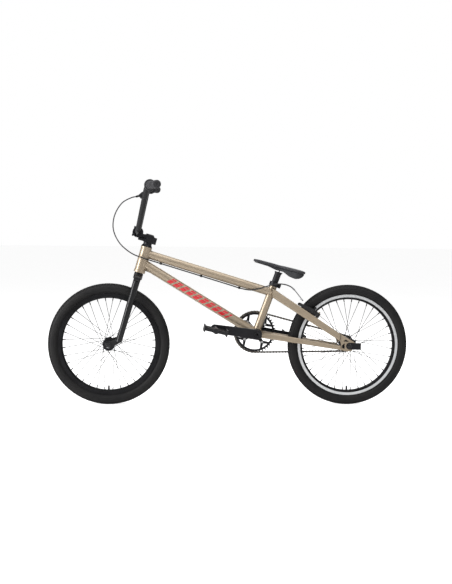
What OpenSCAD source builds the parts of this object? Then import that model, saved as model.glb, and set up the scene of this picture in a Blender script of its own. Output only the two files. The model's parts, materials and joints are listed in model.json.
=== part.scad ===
// BMX race bike, 20 inch wheels, single speed, rear rim brake.
// Frame: +X forward, +Y left, +Z up, origin on the ground midway between the axles.

/* [Wheels] */
// Distance between the two axles
wheelbase = 984; // [960:1:1020]
// Outer radius of the inflated tyre, tread included
tyre_r = 249; // [245:0.5:252]
// Width of the inflated tyre
tyre_w = 44; // [40:1:48]
// Thickness of the tyre casing and tread
tyre_wall = 2.8; // [2:0.1:4]
// Radius of the rim's inner face, where the spokes enter
rim_in_r = 188.7; // [184:0.1:192]
// Radius of the rim's flange tips
rim_out_r = 208.5; // [207.5:0.1:209]
// Outside width of the rim, between the brake tracks
rim_w = 30; // [27:0.5:32]
// Spoke diameter
spoke_d = 2; // [1.8:0.1:2.3]
// Diameter of the hub flanges
flange_d = 50; // [46:1:56]
// Axle diameter
axle_d = 10; // [9:0.5:10]

/* [Frame geometry] */
// Height of the bottom bracket axis above the ground
bb_height = 296; // [285:1:305]
// Distance from the rear axle to the bottom bracket axis
chainstay = 384; // [376:1:392]
// Angle of the steering axis from the ground
head_angle = 74; // [72:0.5:76]
// Angle of the seat tube from the ground
seat_angle = 70; // [68:0.5:72]
// Length of the head tube
head_len = 109; // [100:1:125]
// Outside diameter of the head tube
head_d = 44; // [43.5:0.5:47]
// Length of the seat tube above the bottom bracket axis
seat_len = 224; // [210:1:245]
// Outside diameter of the seat tube
seat_d = 31.8; // [31:0.1:34]
// Outside diameter of the top tube
top_d = 34.9; // [30:0.1:36]
// Outside diameter of the down tube
down_d = 38.1; // [34:0.1:40]
// Wall of the main tubes
tube_wall = 1.8; // [1.2:0.1:2.2]
// Outside diameter of the bottom bracket shell
shell_d = 42; // [40:0.5:44]
// Width of the bottom bracket shell
shell_w = 68; // [66:1:73]

/* [Stays and dropouts] */
// Depth of the seat stays at the seat tube
seat_stay_top = 33; // [26:1:34]
// Depth of the seat stays at the dropouts
seat_stay_end = 26; // [20:1:28]
// Depth of the chain stays at the bottom bracket
chain_stay_top = 27; // [22:1:30]
// Depth of the chain stays at the dropouts
chain_stay_end = 17; // [15:1:22]
// Width of all four stays
stay_w = 14; // [12:0.5:14.5]
// Distance between the rear dropouts
rear_gap = 110; // [110:1:114]
// Thickness of the rear dropouts
dropout_t = 6; // [5:0.5:7]

/* [Fork] */
// Distance from the axle line to the crown race along the steerer
fork_len = 312; // [306:1:320]
// Offset of the front axle ahead of the steering axis
rake = 36; // [30:1:38]
// Diameter of the steerer
steerer_d = 28.6; // [25.4:0.1:28.6]
// Diameter of a fork leg at the crown
leg_top_d = 28.6; // [26:0.1:30]
// Diameter of a fork leg at the dropout
leg_end_d = 25; // [20:0.5:26]
// Distance between the front dropouts
front_gap = 100; // [100:1:104]

/* [Stem and handlebar] */
// Reach of the stem from the steerer to the bar
stem_reach = 51; // [48:1:58]
// Diameter of the handlebar tube
bar_d = 22.2; // [22:0.1:22.4]
// Overall width of the handlebar with its grips
bar_w = 710; // [680:5:740]
// Rise of the handlebar from the clamp to the grips
bar_rise = 184; // [175:1:205]
// Length of a grip
grip_len = 130; // [120:1:140]
// Diameter of a grip
grip_d = 32; // [30:0.5:34]
// Diameter of the grip flange
grip_flange_d = 46; // [40:1:52]

/* [Drivetrain] */
// Teeth on the chainring
ring_teeth = 42; // [40:2:44]
// Teeth on the rear cog
cog_teeth = 16; // [15:1:17]
// Length of a crank arm, axis to axis
crank_len = 174; // [170:1:177]
// Angle of the left crank arm above the horizontal
crank_angle = 7.5; // [0:0.5:12]
// Distance of the chain from the middle plane
chain_line = 45; // [45:0.5:46]
// Length of a pedal body along its spindle
pedal_w = 100; // [90:1:104]
// Length of a pedal from rail to rail
pedal_l = 96; // [88:1:100]
// Height of the pedal rails
pedal_h = 26; // [20:1:30]

/* [Saddle and seat post] */
// Diameter of the seat post
post_d = 27.2; // [25:0.1:27.2]
// Height of the seat post head above the bottom bracket axis, along the seat tube
post_top = 274; // [266:1:288]
// Length of the saddle
saddle_len = 217; // [205:1:230]
// Width of the saddle at the rear
saddle_w = 120; // [110:1:130]
// Tilt of the saddle, nose up
saddle_tilt = 14; // [10:0.5:16]

/* [Brake] */
// Distance between the two brake pivots
boss_gap = 84; // [82:1:88]
// Length of a brake arm from its pivot to its cable end
brake_arm = 80; // [76:1:86]
// Gap between a brake pad and the rim at rest
pad_gap = 1.2; // [1:0.1:2]
// Diameter of the brake cable housing
cable_d = 5; // [4.5:0.1:5]

/* [Hidden] */
$fn = 48;
fit = 0.05;             // running clearance of shafts in their bearings
seat_gap = 0.2;         // clearance of pieces that are bolted together
half = wheelbase / 2;
bb_x = -half + sqrt(chainstay * chainstay - pow(bb_height - tyre_r, 2));
bb = [bb_x, 0, bb_height];
axle_rear = [-half, 0, tyre_r];
axle_front = [half, 0, tyre_r];

// steering frame: its origin is the foot of the front axle on the steering axis
steer_tilt = 90 - head_angle;
steer_up = [-cos(head_angle), 0, sin(head_angle)];
steer_fwd = [sin(head_angle), 0, cos(head_angle)];
steer_foot = axle_front - rake * steer_fwd;
head_bottom = fork_len + 4;
head_top = head_bottom + head_len;
bearing_r = 20.5;
bearing_h = 7;
top_joint = head_bottom + 82;       // where the top tube meets the steering axis
down_joint = head_bottom + 42;      // where the down tube meets it

// seat frame: its origin is the bottom bracket axis
seat_tilt = 90 - seat_angle;
seat_up = [-cos(seat_angle), 0, sin(seat_angle)];
seat_joint = 180;                   // where the top tube meets the seat tube

stem_bottom = head_top + 17;
stem_h = 32;
bar_s = stem_bottom + stem_h - 1;   // height of the bar clamp along the steerer
bar_lean = 11.7;                    // backward lean of the bar's plane
bar_sweep = 12.4;                   // backward sweep of the grips
bar_c = steer_foot + stem_reach * steer_fwd + bar_s * steer_up;
bar_up = [-sin(bar_lean), 0, cos(bar_lean)];
knee_y = 178;                       // half distance between the upper bends
foot_y = 52;                        // half distance between the lower bends
knee = bar_c + bar_rise / cos(bar_lean) * bar_up;
bar_end_y = bar_w / 2 - 3;
bar_end = [knee.x - (bar_end_y - knee_y) * tan(bar_sweep), bar_end_y, knee.z];
bend_high = 48;

// seat stay line in side view, from the seat tube to the dropout
stay_tan = 0.649;
stay_slope = atan(stay_tan);
stay_start_x = bb_x + seat_up.x * seat_joint - 6;
stay_start_z = bb_height + seat_up.z * (seat_joint - 2.5);
stay_end_x = -half + 38;
function seat_stay_z(x) = stay_start_z + (x - stay_start_x) * stay_tan;

// chain stay line in side view
chain_end_x = -half + 34;
chain_end_z = tyre_r - 8;
chain_start_x = bb_x - shell_d / 2 + 5;
chain_start_z = bb_height - 4;
function chain_stay_z(x) = chain_end_z + (chain_start_z - chain_end_z)
    * (x - chain_end_x) / (chain_start_x - chain_end_x);
stay_y = rear_gap / 2 + dropout_t / 2;

// brake pivots stand on the seat stays, square to them
pad_r = (rim_out_r + rim_in_r) / 2 + 5.6;
boss_angle = 43.2;
boss_r = pad_r - 24.2;
boss = axle_rear + boss_r * [cos(boss_angle), 0, sin(boss_angle)];
pad_reach = 24.5;                   // from the pivot to the pad along the arm
boss_x = boss.x;
boss_rise = ((boss.z - seat_stay_z(boss_x)) * cos(stay_slope));

// hubs
flange_y = 31;
flange_t = 3;
flange_hole_r = flange_d / 2 - 2.6;
hub_end_front = front_gap / 2 - 5.5;
hub_end_rear = rear_gap / 2 - 4.5;
hub_bearing_r = 13;
spoke_count = 36;
spoke_out = flange_t / 2 + spoke_d / 2 + 0.2;
spoke_lift = 1.2;                   // more room for the spokes that leave outwards
rim_seat_r = rim_out_r - 5.5;       // where the tyre beads sit
tyre_c = tyre_r - tyre_w / 2;       // centre of the tyre's section

// chain
pitch = 12.7;
ring_pr = pitch / 2 / sin(180 / ring_teeth);
cog_pr = pitch / 2 / sin(180 / cog_teeth);
roller_r = 3.8;
plate_t = 1.1;
plate_r = 4.2;
sprocket_t = 3;
chain_dir = atan2(bb_height - tyre_r, bb_x + half);
wrap = acos((cog_pr - ring_pr) / chainstay);    // from the centre line to a tangent point
ring_n = floor((wrap + 1) * 2 / 360 * ring_teeth) + 1;
cog_n = floor((180 - wrap) * 2 / 360 * cog_teeth) + 1;
function ring_a(k) = chain_dir + (k - (ring_n - 1) / 2) * 360 / ring_teeth;
function cog_a(k) = chain_dir + 180 + (k - (cog_n - 1) / 2) * 360 / cog_teeth;
function ring_p(k) = [bb_x + ring_pr * cos(ring_a(k)), bb_height + ring_pr * sin(ring_a(k))];
function cog_p(k) = [-half + cog_pr * cos(cog_a(k)), tyre_r + cog_pr * sin(cog_a(k))];
run_up = norm(cog_p(0) - ring_p(ring_n - 1));
run_low = norm(ring_p(0) - cog_p(cog_n - 1));
n_up = round(run_up / pitch);
n_low_near = round(run_low / pitch);
n_low = n_low_near + (ring_n + cog_n + n_up + n_low_near) % 2;
function along(a, b, n) = [for (i = [1:n - 1]) a + (b - a) * i / n];
chain_pts = concat(
    [for (k = [0:ring_n - 1]) ring_p(k)],
    along(ring_p(ring_n - 1), cog_p(0), n_up),
    [for (k = [0:cog_n - 1]) cog_p(k)],
    along(cog_p(cog_n - 1), ring_p(0), n_low));

// crank set
spindle_r = 12;
cup_y = shell_w / 2 + 10;
arm_in = 53;                        // inner face of the crank arms
arm_t = 18;
arm_r = 20;
arm_end_r = 17.5;
bolt_circle_r = 52;
ring_bolt_a = 54;
spider_t = 4;
thread_r = 7;
crank_dir = [cos(crank_angle), 0, sin(crank_angle)];
pedal_tilt = 13;
pedal_in = arm_in + arm_t + 5;

// saddle
saddle_nose = 0.47 * saddle_len;
saddle_tail = saddle_len - saddle_nose;
saddle_drop = 24;                   // from the top of the saddle to the post head
pad_t = 12;

// brake cable routes, through round points chosen along the bike
loop_route = [[388, -196, 856], [408, -180, 851], [441, -146, 832], [464, -112, 801],
    [477, -78, 765], [479, -46, 727], [469, -16, 693], [449, 8, 661], [422, 24, 636],
    [394, 31, 618], [364, 30, 606], [338, 24, 597], [314, 11, 589.6], [291.5, 6, 582.7]];
frame_route = [[291, 6, 582.5], [232, 6, 564.7], [174, 6, 547.2], [117, 6, 530],
    [60, 6, 512.7], [2, 6, 495.2], [-50, 6, 479.5], [-88, 16, 474.5], [-120, 23.5, 481],
    [-150, 27, 490], [-180, 27.5, 498.5], [-207, 33, 501], [-230, 43, 498], [-249, 51, 490],
    [-263.5, 53, 477.5]];
noodle_route = [[-264, 53, 476.8], [-299, 53, 434], [-299, 30, 434]];
clip_x = [282, 117, -40];

paint = [0.66, 0.60, 0.51];
black = [0.08, 0.08, 0.09];
rubber = [0.12, 0.12, 0.12];
steel = [0.70, 0.71, 0.72];

// ---------- helpers ----------

// straight rod from a to b
module rod(a, b, r, r2 = 0) {
    d = b - a;
    translate(a)
        rotate([0, atan2(norm([d.x, d.y]), d.z), atan2(d.y, d.x)])
            cylinder(h = norm(d), r1 = r, r2 = r2 > 0 ? r2 : r);
}

// disc or ring square to Y, between two distances from the middle plane
module disc(r, y0, y1, hole = 0) {
    translate([0, y1, 0])
        rotate([90, 0, 0])
            difference() {
                cylinder(h = y1 - y0, r = r);
                if (hole > 0) translate([0, 0, -1]) cylinder(h = y1 - y0 + 2, r = hole);
            }
}

// plate drawn in the X-Z plane, between two distances from the middle plane
module plate(y0, y1) {
    translate([0, y1, 0])
        rotate([90, 0, 0])
            linear_extrude(height = y1 - y0) children();
}

// outline of two circles and the band between their outer tangents
module link2d(p, r, q, s) {
    dir = atan2(q.y - p.y, q.x - p.x);
    a = acos((r - s) / norm(q - p));
    translate(p) circle(r = r);
    translate(q) circle(r = s);
    polygon([p + r * [cos(dir + a), sin(dir + a)], p + r * [cos(dir - a), sin(dir - a)],
        q + s * [cos(dir - a), sin(dir - a)], q + s * [cos(dir + a), sin(dir + a)]]);
}

module mirror_y() {
    children();
    mirror([0, 1, 0]) children();
}

module steer_frame() {
    translate(steer_foot) rotate([0, -steer_tilt, 0]) children();
}

module seat_frame() {
    translate(bb) rotate([0, -seat_tilt, 0]) children();
}

module crank_frame(turn) {
    translate(bb) rotate([0, -crank_angle - turn, 0]) children();
}

// round tube through points, with bends of the given radius at the inner points;
// the bends are drawn a hair thinner than the straights, which lap over them
bend_lap = 1.2;
bend_step = 0.15;
function unit(v) = v / norm(v);
function bend_cut(p, i, radius) =
    (i == 0 || i == len(p) - 1) ? 0
    : radius * tan(acos(unit(p[i] - p[i - 1]) * unit(p[i + 1] - p[i])) / 2) - bend_lap;

module bent_rod(p, radius, r) {
    for (i = [0:len(p) - 2]) {
        d = unit(p[i + 1] - p[i]);
        rod(p[i] + d * bend_cut(p, i, radius), p[i + 1] - d * bend_cut(p, i + 1, radius), r);
    }
    for (i = [1:len(p) - 2]) {
        u = unit(p[i] - p[i - 1]);
        v = unit(p[i + 1] - p[i]);
        turn = acos(u * v);
        z = unit(cross(u, v));
        x = cross(u, z);
        c = p[i] - u * radius * tan(turn / 2) - x * radius;
        multmatrix([[x.x, u.x, z.x, c.x], [x.y, u.y, z.y, c.y], [x.z, u.z, z.z, c.z]])
            rotate_extrude(angle = turn) translate([radius, 0]) circle(r = r - bend_step);
    }
}

// smooth curve through route points, as rings joined into one closed tube
function spline(a, b, c, d, t) = 0.5 * (2 * b + (c - a) * t
    + (2 * a - 5 * b + 4 * c - d) * t * t + (3 * b - a - 3 * c + d) * t * t * t);
function route_at(p, i, t) = spline(p[max(i - 1, 0)], p[i], p[i + 1],
    p[min(i + 2, len(p) - 1)], t);
function smooth_route(p, n) = concat(
    [for (i = [0:len(p) - 2]) for (k = [0:n - 1]) route_at(p, i, k / n)],
    [p[len(p) - 1]]);

module cord(route, steps, r, sides) {
    c = smooth_route(route, steps);
    last = len(c) - 1;
    rings = [for (i = [0:last])
        let (t = unit(c[min(i + 1, last)] - c[max(i - 1, 0)]),
             a = unit(cross(t, [0.1, 0.2, 1])), b = cross(t, a))
        for (k = [0:sides - 1]) c[i] + r * (cos(360 * k / sides) * a + sin(360 * k / sides) * b)];
    walls = [for (i = [0:last - 1]) for (k = [0:sides - 1])
        [(i + 1) * sides + k, (i + 1) * sides + (k + 1) % sides,
         i * sides + (k + 1) % sides, i * sides + k]];
    polyhedron(rings, concat([[for (k = [0:sides - 1]) k]], walls,
        [[for (k = [sides - 1:-1:0]) last * sides + k]]));
}

// outline of a band of constant width along a path
function side_of(p, i, w) = let (
    d = unit(p[min(i + 1, len(p) - 1)] - p[max(i - 1, 0)])) p[i] + w / 2 * [-d.y, d.x];
function band(p, w) = concat([for (i = [0:len(p) - 1]) side_of(p, i, w)],
    [for (i = [len(p) - 1:-1:0]) side_of(p, i, -w)]);

// toothed outline: a rounded gap at each angle a0 + k * 360 / n
module sprocket2d(n, pr, a0) {
    step = 360 / n;
    root_r = pr - roller_r - 0.15;
    tip_r = pr + 3.4;
    root_a = 2.85 / root_r * 57.3;
    pitch_a = 4.2 / pr * 57.3;
    tip_a = step / 2 - 1.3 / tip_r * 57.3;
    polygon([for (k = [0:n - 1]) for (q = [[root_r, -root_a], [root_r, root_a],
        [pr, pitch_a], [tip_r, tip_a], [tip_r, step - tip_a], [pr, step - pitch_a]])
        q[0] * [cos(a0 + k * step + q[1]), sin(a0 + k * step + q[1])]]);
}

// ---------- frame ----------

module head_solid(r) {
    steer_frame() translate([0, 0, head_bottom]) cylinder(h = head_len, r = r);
}

module head_tube() {
    color(paint) steer_frame() difference() {
        union() {
            translate([0, 0, head_bottom]) cylinder(h = head_len, d = head_d);
            translate([0, 0, head_bottom]) cylinder(h = 10, d = head_d + 3);
            translate([0, 0, head_top - 8]) cylinder(h = 8, d = head_d + 2);
        }
        translate([0, 0, head_bottom - 1]) cylinder(h = head_len + 2, r = 17.5);
        translate([0, 0, head_bottom - 1]) cylinder(h = bearing_h + 1.3, r = bearing_r + 0.02);
        translate([0, 0, head_top - bearing_h - 0.3]) cylinder(h = bearing_h + 2, r = bearing_r + 0.02);
    }
}

top_a = steer_foot + top_joint * steer_up;
top_b = bb + seat_joint * seat_up;
down_a = steer_foot + down_joint * steer_up;

module top_tube() {
    color(paint) difference() {
        rod(top_a, top_b, top_d / 2);
        rod(top_a, top_b, top_d / 2 - tube_wall);
        head_solid(head_d / 2);
        seat_solid(seat_d / 2);
    }
}

module down_tube() {
    color(paint) difference() {
        rod(down_a, bb, down_d / 2);
        rod(down_a, bb, down_d / 2 - tube_wall);
        head_solid(head_d / 2);
        translate(bb) disc(shell_d / 2, -shell_w, shell_w);
        seat_solid(seat_d / 2);
    }
}

module seat_solid(r) {
    seat_frame() translate([0, 0, -1]) cylinder(h = seat_len + 1, r = r);
}

module seat_tube() {
    color(paint) difference() {
        seat_frame() difference() {
            cylinder(h = seat_len, d = seat_d);
            translate([0, 0, -1]) cylinder(h = seat_len + 2, d = post_d + 2 * fit);
            translate([-seat_d, -1, seat_len - 28]) cube([seat_d, 2, 30]);
        }
        translate(bb) disc(shell_d / 2, -shell_w, shell_w);
    }
}

module bottom_bracket_shell() {
    color(paint) translate(bb) disc(shell_d / 2, -shell_w / 2, shell_w / 2, 17.5);
}

// side view of a stay, from depth d0 at x0 to depth d1 at x1
module stay_side(x0, z0, d0, x1, z1, d1, grow) {
    plate(-200, 200) polygon([[x0, z0 + d0 / 2 + grow], [x0, z0 - d0 / 2 - grow],
        [x1, z1 - d1 / 2 - grow], [x1, z1 + d1 / 2 + grow]]);
}

seat_stay_plan = [[stay_start_x + 8, 15], [stay_start_x, 17], [stay_start_x - 84, 38],
    [boss_x + 20, 50.5], [-half + 112, stay_y - 0.3], [stay_end_x, stay_y]];
chain_stay_plan = [[chain_start_x + 6, 22], [chain_start_x - 8, 23.5],
    [bb_x - 82, 31], [-half + tyre_r - 4, 35.5], [-half + 185, 38.5], [-half + 90, stay_y - 3],
    [chain_end_x, stay_y]];

module stay_body(plan, x0, z0, d0, x1, z1, d1, inset) {
    intersection() {
        translate([0, 0, tyre_r - 60])
            linear_extrude(height = 340) polygon(band(plan, stay_w - 2 * inset));
        stay_side(x0, z0, d0, x1, z1, d1, -inset);
    }
}

module hollow_stay(plan, x0, z0, d0, x1, z1, d1) {
    difference() {
        stay_body(plan, x0, z0, d0, x1, z1, d1, 0);
        stay_body(plan, x0, z0, d0, x1, z1, d1, tube_wall);
    }
}

module chain_stays() {
    color(paint) mirror_y() difference() {
        hollow_stay(chain_stay_plan, chain_start_x + 4, chain_stay_z(chain_start_x + 4),
            chain_stay_top, chain_end_x, chain_end_z, chain_stay_end);
        translate(bb) disc(shell_d / 2, -shell_w, shell_w);
    }
}

module seat_stays() {
    color(paint) mirror_y() difference() {
        hollow_stay(seat_stay_plan, stay_start_x + 6, seat_stay_z(stay_start_x + 6),
            seat_stay_top / cos(stay_slope), stay_end_x, seat_stay_z(stay_end_x),
            seat_stay_end / cos(stay_slope));
        seat_solid(seat_d / 2);
    }
}

stay_low_z = seat_stay_z(stay_end_x) - seat_stay_end / 2 / cos(stay_slope);
stay_high_z = seat_stay_z(stay_end_x) + seat_stay_end / 2 / cos(stay_slope);

module dropout_outline() {
    polygon([[stay_end_x, stay_high_z], [-half - 22, tyre_r + 15], [-half - 20, tyre_r + 9],
        [-half - 4, tyre_r + 7], [-half - 4, tyre_r - 7], [-half - 14, tyre_r - 9],
        [-half - 12, tyre_r - 17], [-half + 8, tyre_r - 23],
        [chain_end_x, chain_end_z - chain_stay_end / 2],
        [chain_end_x, chain_end_z + chain_stay_end / 2], [stay_end_x, stay_low_z]]);
    translate([-half, tyre_r]) circle(r = 15);
}

module rear_dropouts() {
    color(paint) mirror_y() difference() {
        plate(rear_gap / 2, rear_gap / 2 + dropout_t) dropout_outline();
        translate(axle_rear) disc(axle_d / 2 + seat_gap, 0, rear_gap);
        translate([-half - 40, 0, tyre_r - axle_d / 2 - seat_gap])
            cube([40, rear_gap, axle_d + 2 * seat_gap]);
        plate(0, rear_gap) polygon([[-half + 26, tyre_r + 19], [-half + 2, tyre_r + 17],
            [-half + 16, tyre_r + 27]]);
        plate(0, rear_gap) polygon([[-half + 32, tyre_r + 2], [-half + 20, tyre_r + 12],
            [-half + 19, tyre_r - 12], [-half + 30, tyre_r - 8]]);
    }
}

module boss_frame() {
    translate([boss.x, boss_gap / 2, boss.z]) rotate([0, -stay_slope, 0]) children();
}

stay_half = (seat_stay_end + (seat_stay_top - seat_stay_end)
    * (boss_x - stay_end_x) / (stay_start_x - stay_end_x)) / 2;

module brake_bosses() {
    color(steel) mirror_y() difference() {
        union() {
            boss_frame() translate([0, 0, -8]) cylinder(h = 25, d = 8);
            boss_frame() translate([0, 0, stay_half - boss_rise - 6])
                cylinder(h = boss_rise - stay_half - 2, d = 15);
            boss_frame() translate([-7, 0, stay_half - boss_rise - 6])
                cube([14, 9, boss_rise - stay_half - 4]);
        }
        stay_body(seat_stay_plan, stay_start_x + 6, seat_stay_z(stay_start_x + 6),
            seat_stay_top / cos(stay_slope), stay_end_x, seat_stay_z(stay_end_x),
            seat_stay_end / cos(stay_slope), 0);
    }
}

// gusset under the down tube joint, and the two bridges between the stays
module frame_gussets() {
    gusset_a = steer_foot + (head_bottom + 14) * steer_up;
    color(paint) {
        difference() {
            plate(-6, 6) polygon([[gusset_a.x, gusset_a.z],
                [down_a.x - 70, down_a.z - 70 * tan(31.5) - 12],
                [down_a.x - 20, down_a.z]]);
            head_solid(head_d / 2);
            rod(down_a, bb, down_d / 2);
        }
        bridge(stay_start_x - 70, seat_stay_z(stay_start_x - 70), 33, seat_stay_plan);
        bridge(-half + tyre_r + 20, chain_stay_z(-half + tyre_r + 20), 33, chain_stay_plan);
    }
}

module bridge(x, z, y, plan) {
    difference() {
        rod([x, -y, z], [x, y, z], 6);
        mirror_y() translate([0, 0, tyre_r - 60])
            linear_extrude(height = 340) polygon(band(plan, stay_w));
    }
}

module headset_bearings() {
    color(steel) steer_frame() {
        translate([0, 0, head_bottom + 0.15]) bearing_ring();
        translate([0, 0, head_top - bearing_h - 0.15]) bearing_ring();
    }
}

module bearing_ring() {
    difference() {
        cylinder(h = bearing_h, r = bearing_r);
        translate([0, 0, -1]) cylinder(h = bearing_h + 2, r = steerer_d / 2 + fit);
    }
}

module bottom_bracket_bearings() {
    color(black) mirror_y() translate(bb) difference() {
        union() {
            disc(17.45, shell_w / 2 - 12, shell_w / 2);
            disc(shell_d / 2 + 1, shell_w / 2, cup_y);
        }
        disc(spindle_r + fit, 0, cup_y + 1);
    }
}

module seat_clamp() {
    clamp_h = 18;
    color(black) seat_frame() {
        difference() {
            union() {
                translate([0, 0, seat_len - clamp_h]) cylinder(h = clamp_h, d = seat_d + 8);
                translate([-seat_d / 2 - 12, -9, seat_len - clamp_h]) cube([12, 18, clamp_h]);
            }
            translate([0, 0, seat_len - clamp_h - 1]) cylinder(h = clamp_h + 2, d = seat_d + 0.1);
            translate([-seat_d - 12, -1, seat_len - clamp_h - 1]) cube([seat_d, 2, clamp_h + 2]);
            translate([-seat_d / 2 - 7.5, 0, seat_len - clamp_h / 2]) disc(3.1, -20, 20);
        }
        translate([-seat_d / 2 - 7.5, 0, seat_len - clamp_h / 2]) {
            disc(3, -8, 9.1);
            disc(5, 9.1, 14);
        }
    }
}

function cable_z(x) = 582.5 + (x - 291) * 0.302;

// three clips that hold the housing under the top tube
module cable_clips() {
    slope = atan2(top_a.z - top_b.z, top_a.x - top_b.x);
    color(steel) for (x = clip_x) {
        difference() {
            translate([x, 6, cable_z(x)]) rotate([0, 90 - slope, 0])
                cylinder(h = 9, r = cable_d / 2 + 2, center = true);
            rod(top_a, top_b, top_d / 2);
            cable_channel();
        }
    }
}

module cable_channel() {
    rod([330, 6, cable_z(330)], [-60, 6, cable_z(-60)], cable_d / 2 + 0.3);
}

module brake_cable() {
    color(black) cord(frame_route, 2, cable_d / 2, 8);
    color(steel) {
        bent_rod(noodle_route, 14, 2.2);
        rod([-299, 29.9, 434], [-299, -46, 434], 0.8);
    }
}

module chain_tensioners() {
    y0 = rear_gap / 2 + dropout_t + seat_gap;
    color(black) mirror_y() difference() {
        union() {
            translate(axle_rear) disc(14, y0, y0 + 4);
            plate(y0, y0 + 4) polygon([[-half, tyre_r - 14], [-half, tyre_r + 14],
                [-half - 47, tyre_r + 12], [-half - 47, tyre_r - 15]]);
            plate(rear_gap / 2, y0 + 4) polygon([[-half - 30, tyre_r - 14.5],
                [-half - 30, tyre_r + 13], [-half - 47, tyre_r + 12], [-half - 47, tyre_r - 15]]);
        }
        translate(axle_rear) disc(axle_d / 2 + fit, 0, rear_gap);
    }
}

axle_tip = 5;                       // bare end past a relief groove outside the nut
axle_relief = 0.7;

module axle(half_len, gap, hub_end) {
    disc(axle_d / 2, -half_len + axle_tip + axle_relief, half_len - axle_tip - axle_relief);
    disc(axle_d / 2 - 0.8, -half_len + axle_tip, half_len - axle_tip);
    mirror_y() disc(axle_d / 2 - 0.25, half_len - axle_tip, half_len);
    mirror_y() disc(8, hub_end + 0.3, gap / 2);
}

rear_nut_y = rear_gap / 2 + dropout_t + 4.4;

module rear_axle() {
    color(steel) translate(axle_rear) axle(rear_nut_y + 15, rear_gap, hub_end_rear);
}

module axle_nut(y) {
    difference() {
        union() {
            disc(10, y, y + 2);
            translate([0, y + 9, 0]) rotate([90, 0, 0]) cylinder(h = 7, r = 9.2, $fn = 6);
        }
        disc(axle_d / 2 + fit, y - 1, y + 20);
    }
}

module rear_axle_nuts() {
    color(black) translate(axle_rear) mirror_y() axle_nut(rear_nut_y);
}

module chain_plate(p, q, y0, y1, hole) {
    mid = (p + q) / 2;
    plate(y0, y1) difference() {
        union() {
            translate(p) circle(r = plate_r);
            translate(q) circle(r = plate_r);
            translate(mid) rotate(atan2(q.y - p.y, q.x - p.x))
                square([norm(q - p), 2 * plate_r - 2.4], center = true);
        }
        if (hole > 0) {
            translate(p) circle(r = hole);
            translate(q) circle(r = hole);
        }
    }
}

// inner links carry the rollers, outer links carry the pins
module drive_chain() {
    n = len(chain_pts);
    inner_w = sprocket_t / 2 + 0.2;
    color(steel) translate([0, -chain_line, 0]) for (i = [0:n - 1]) {
        p = chain_pts[i];
        q = chain_pts[(i + 1) % n];
        if (i % 2 == 0) {
            mirror_y() chain_plate(p, q, inner_w, inner_w + plate_t, 2);
            for (c = [p, q]) translate([c.x, 0, c.y]) disc(roller_r, -inner_w, inner_w, 2);
        } else {
            mirror_y() chain_plate(p, q, inner_w + plate_t + 0.1, inner_w + 2 * plate_t + 0.1, 0);
            for (c = [p, q])
                translate([c.x, 0, c.y]) disc(1.8, -inner_w - plate_t - 0.2, inner_w + plate_t + 0.2);
        }
    }
}

// ---------- seat ----------

module seat_post() {
    color(black) seat_frame() difference() {
        union() {
            translate([0, 0, post_top - 140]) cylinder(h = 132, d = post_d);
            translate([0, 0, post_top - 14]) cylinder(h = 8, d1 = post_d, d2 = 34);
            intersection() {
                translate([0, 0, post_top - 6]) cylinder(h = 14, d = 34);
                rotate([0, seat_tilt - saddle_tilt, 0]) translate([-120, -17, post_top - 37])
                    cube([200, 34, 30]);
            }
        }
        translate([0, 0, post_top - 141]) cylinder(h = 115, d = post_d - 5);
        translate([0, 0, post_top - 40]) cylinder(h = 60, d = 8.1);
    }
}

// saddle frame: on top of the saddle over the post, X along the saddle to its nose
module saddle_frame() {
    translate(bb + (post_top + saddle_drop) * seat_up) rotate([0, -saddle_tilt, 0]) children();
}

module saddle_outline(inset) {
    nose_r = 13;
    waist_r = 23;
    rear_r = 27;
    hull() {
        translate([saddle_nose + 14 - nose_r, 0]) circle(r = nose_r - inset, $fn = 32);
        translate([0, 0]) circle(r = waist_r - inset, $fn = 32);
    }
    hull() {
        translate([0, 0]) circle(r = waist_r - inset, $fn = 32);
        for (s = [-1, 1])
            translate([14 - saddle_tail + rear_r, s * (saddle_w / 2 - rear_r)])
                circle(r = rear_r - inset, $fn = 32);
    }
}

module saddle_base() {
    nose = saddle_nose + 14;
    tail = saddle_tail - 14;
    color(black) saddle_frame() difference() {
        intersection() {
            translate([0, 0, -60]) linear_extrude(height = 60) saddle_outline(2);
            plate(-80, 80) polygon([[nose - 2, -pad_t], [-tail + 2, -pad_t],
                [-tail + 3, -14], [-tail + 9, -25], [-tail + 20, -34], [-tail + 36, -39.5],
                [-tail + 52, -38], [-tail + 64, -33], [-17, -saddle_drop],
                [18, -saddle_drop], [52, -17], [nose - 6, -pad_t - 2.5]]);
        }
        bolt_hole(4.2);
    }
}

module bolt_hole(r) {
    rotate([0, saddle_tilt - seat_tilt, 0]) translate([0, 0, -60]) cylinder(h = 100, r = r);
}

module saddle_pad() {
    color(rubber) saddle_frame() difference() {
        translate([0, 0, -pad_t + seat_gap]) linear_extrude(height = pad_t - seat_gap - 1) saddle_outline(0);
        bolt_hole(8);
    }
}

module saddle_bolt() {
    color(steel) saddle_frame() rotate([0, saddle_tilt - seat_tilt, 0]) difference() {
        union() {
            translate([0, 0, -saddle_drop - 22]) cylinder(h = saddle_drop + 12, r = 4);
            translate([0, 0, -10.5]) cylinder(h = 6, r = 6.5);
        }
        translate([0, 0, -7.5]) cylinder(h = 10, r = 3.4, $fn = 6);
    }
}

// ---------- steering ----------

leg_y = 45;
leg_top_s = fork_len - 32;
leg_end_s = 24;
drop_t = 5;

module crown_outline() {
    square([2 * leg_y, 24], center = true);
    for (s = [-1, 1]) translate([s * leg_y, -2]) circle(r = leg_top_d / 2);
}

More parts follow.
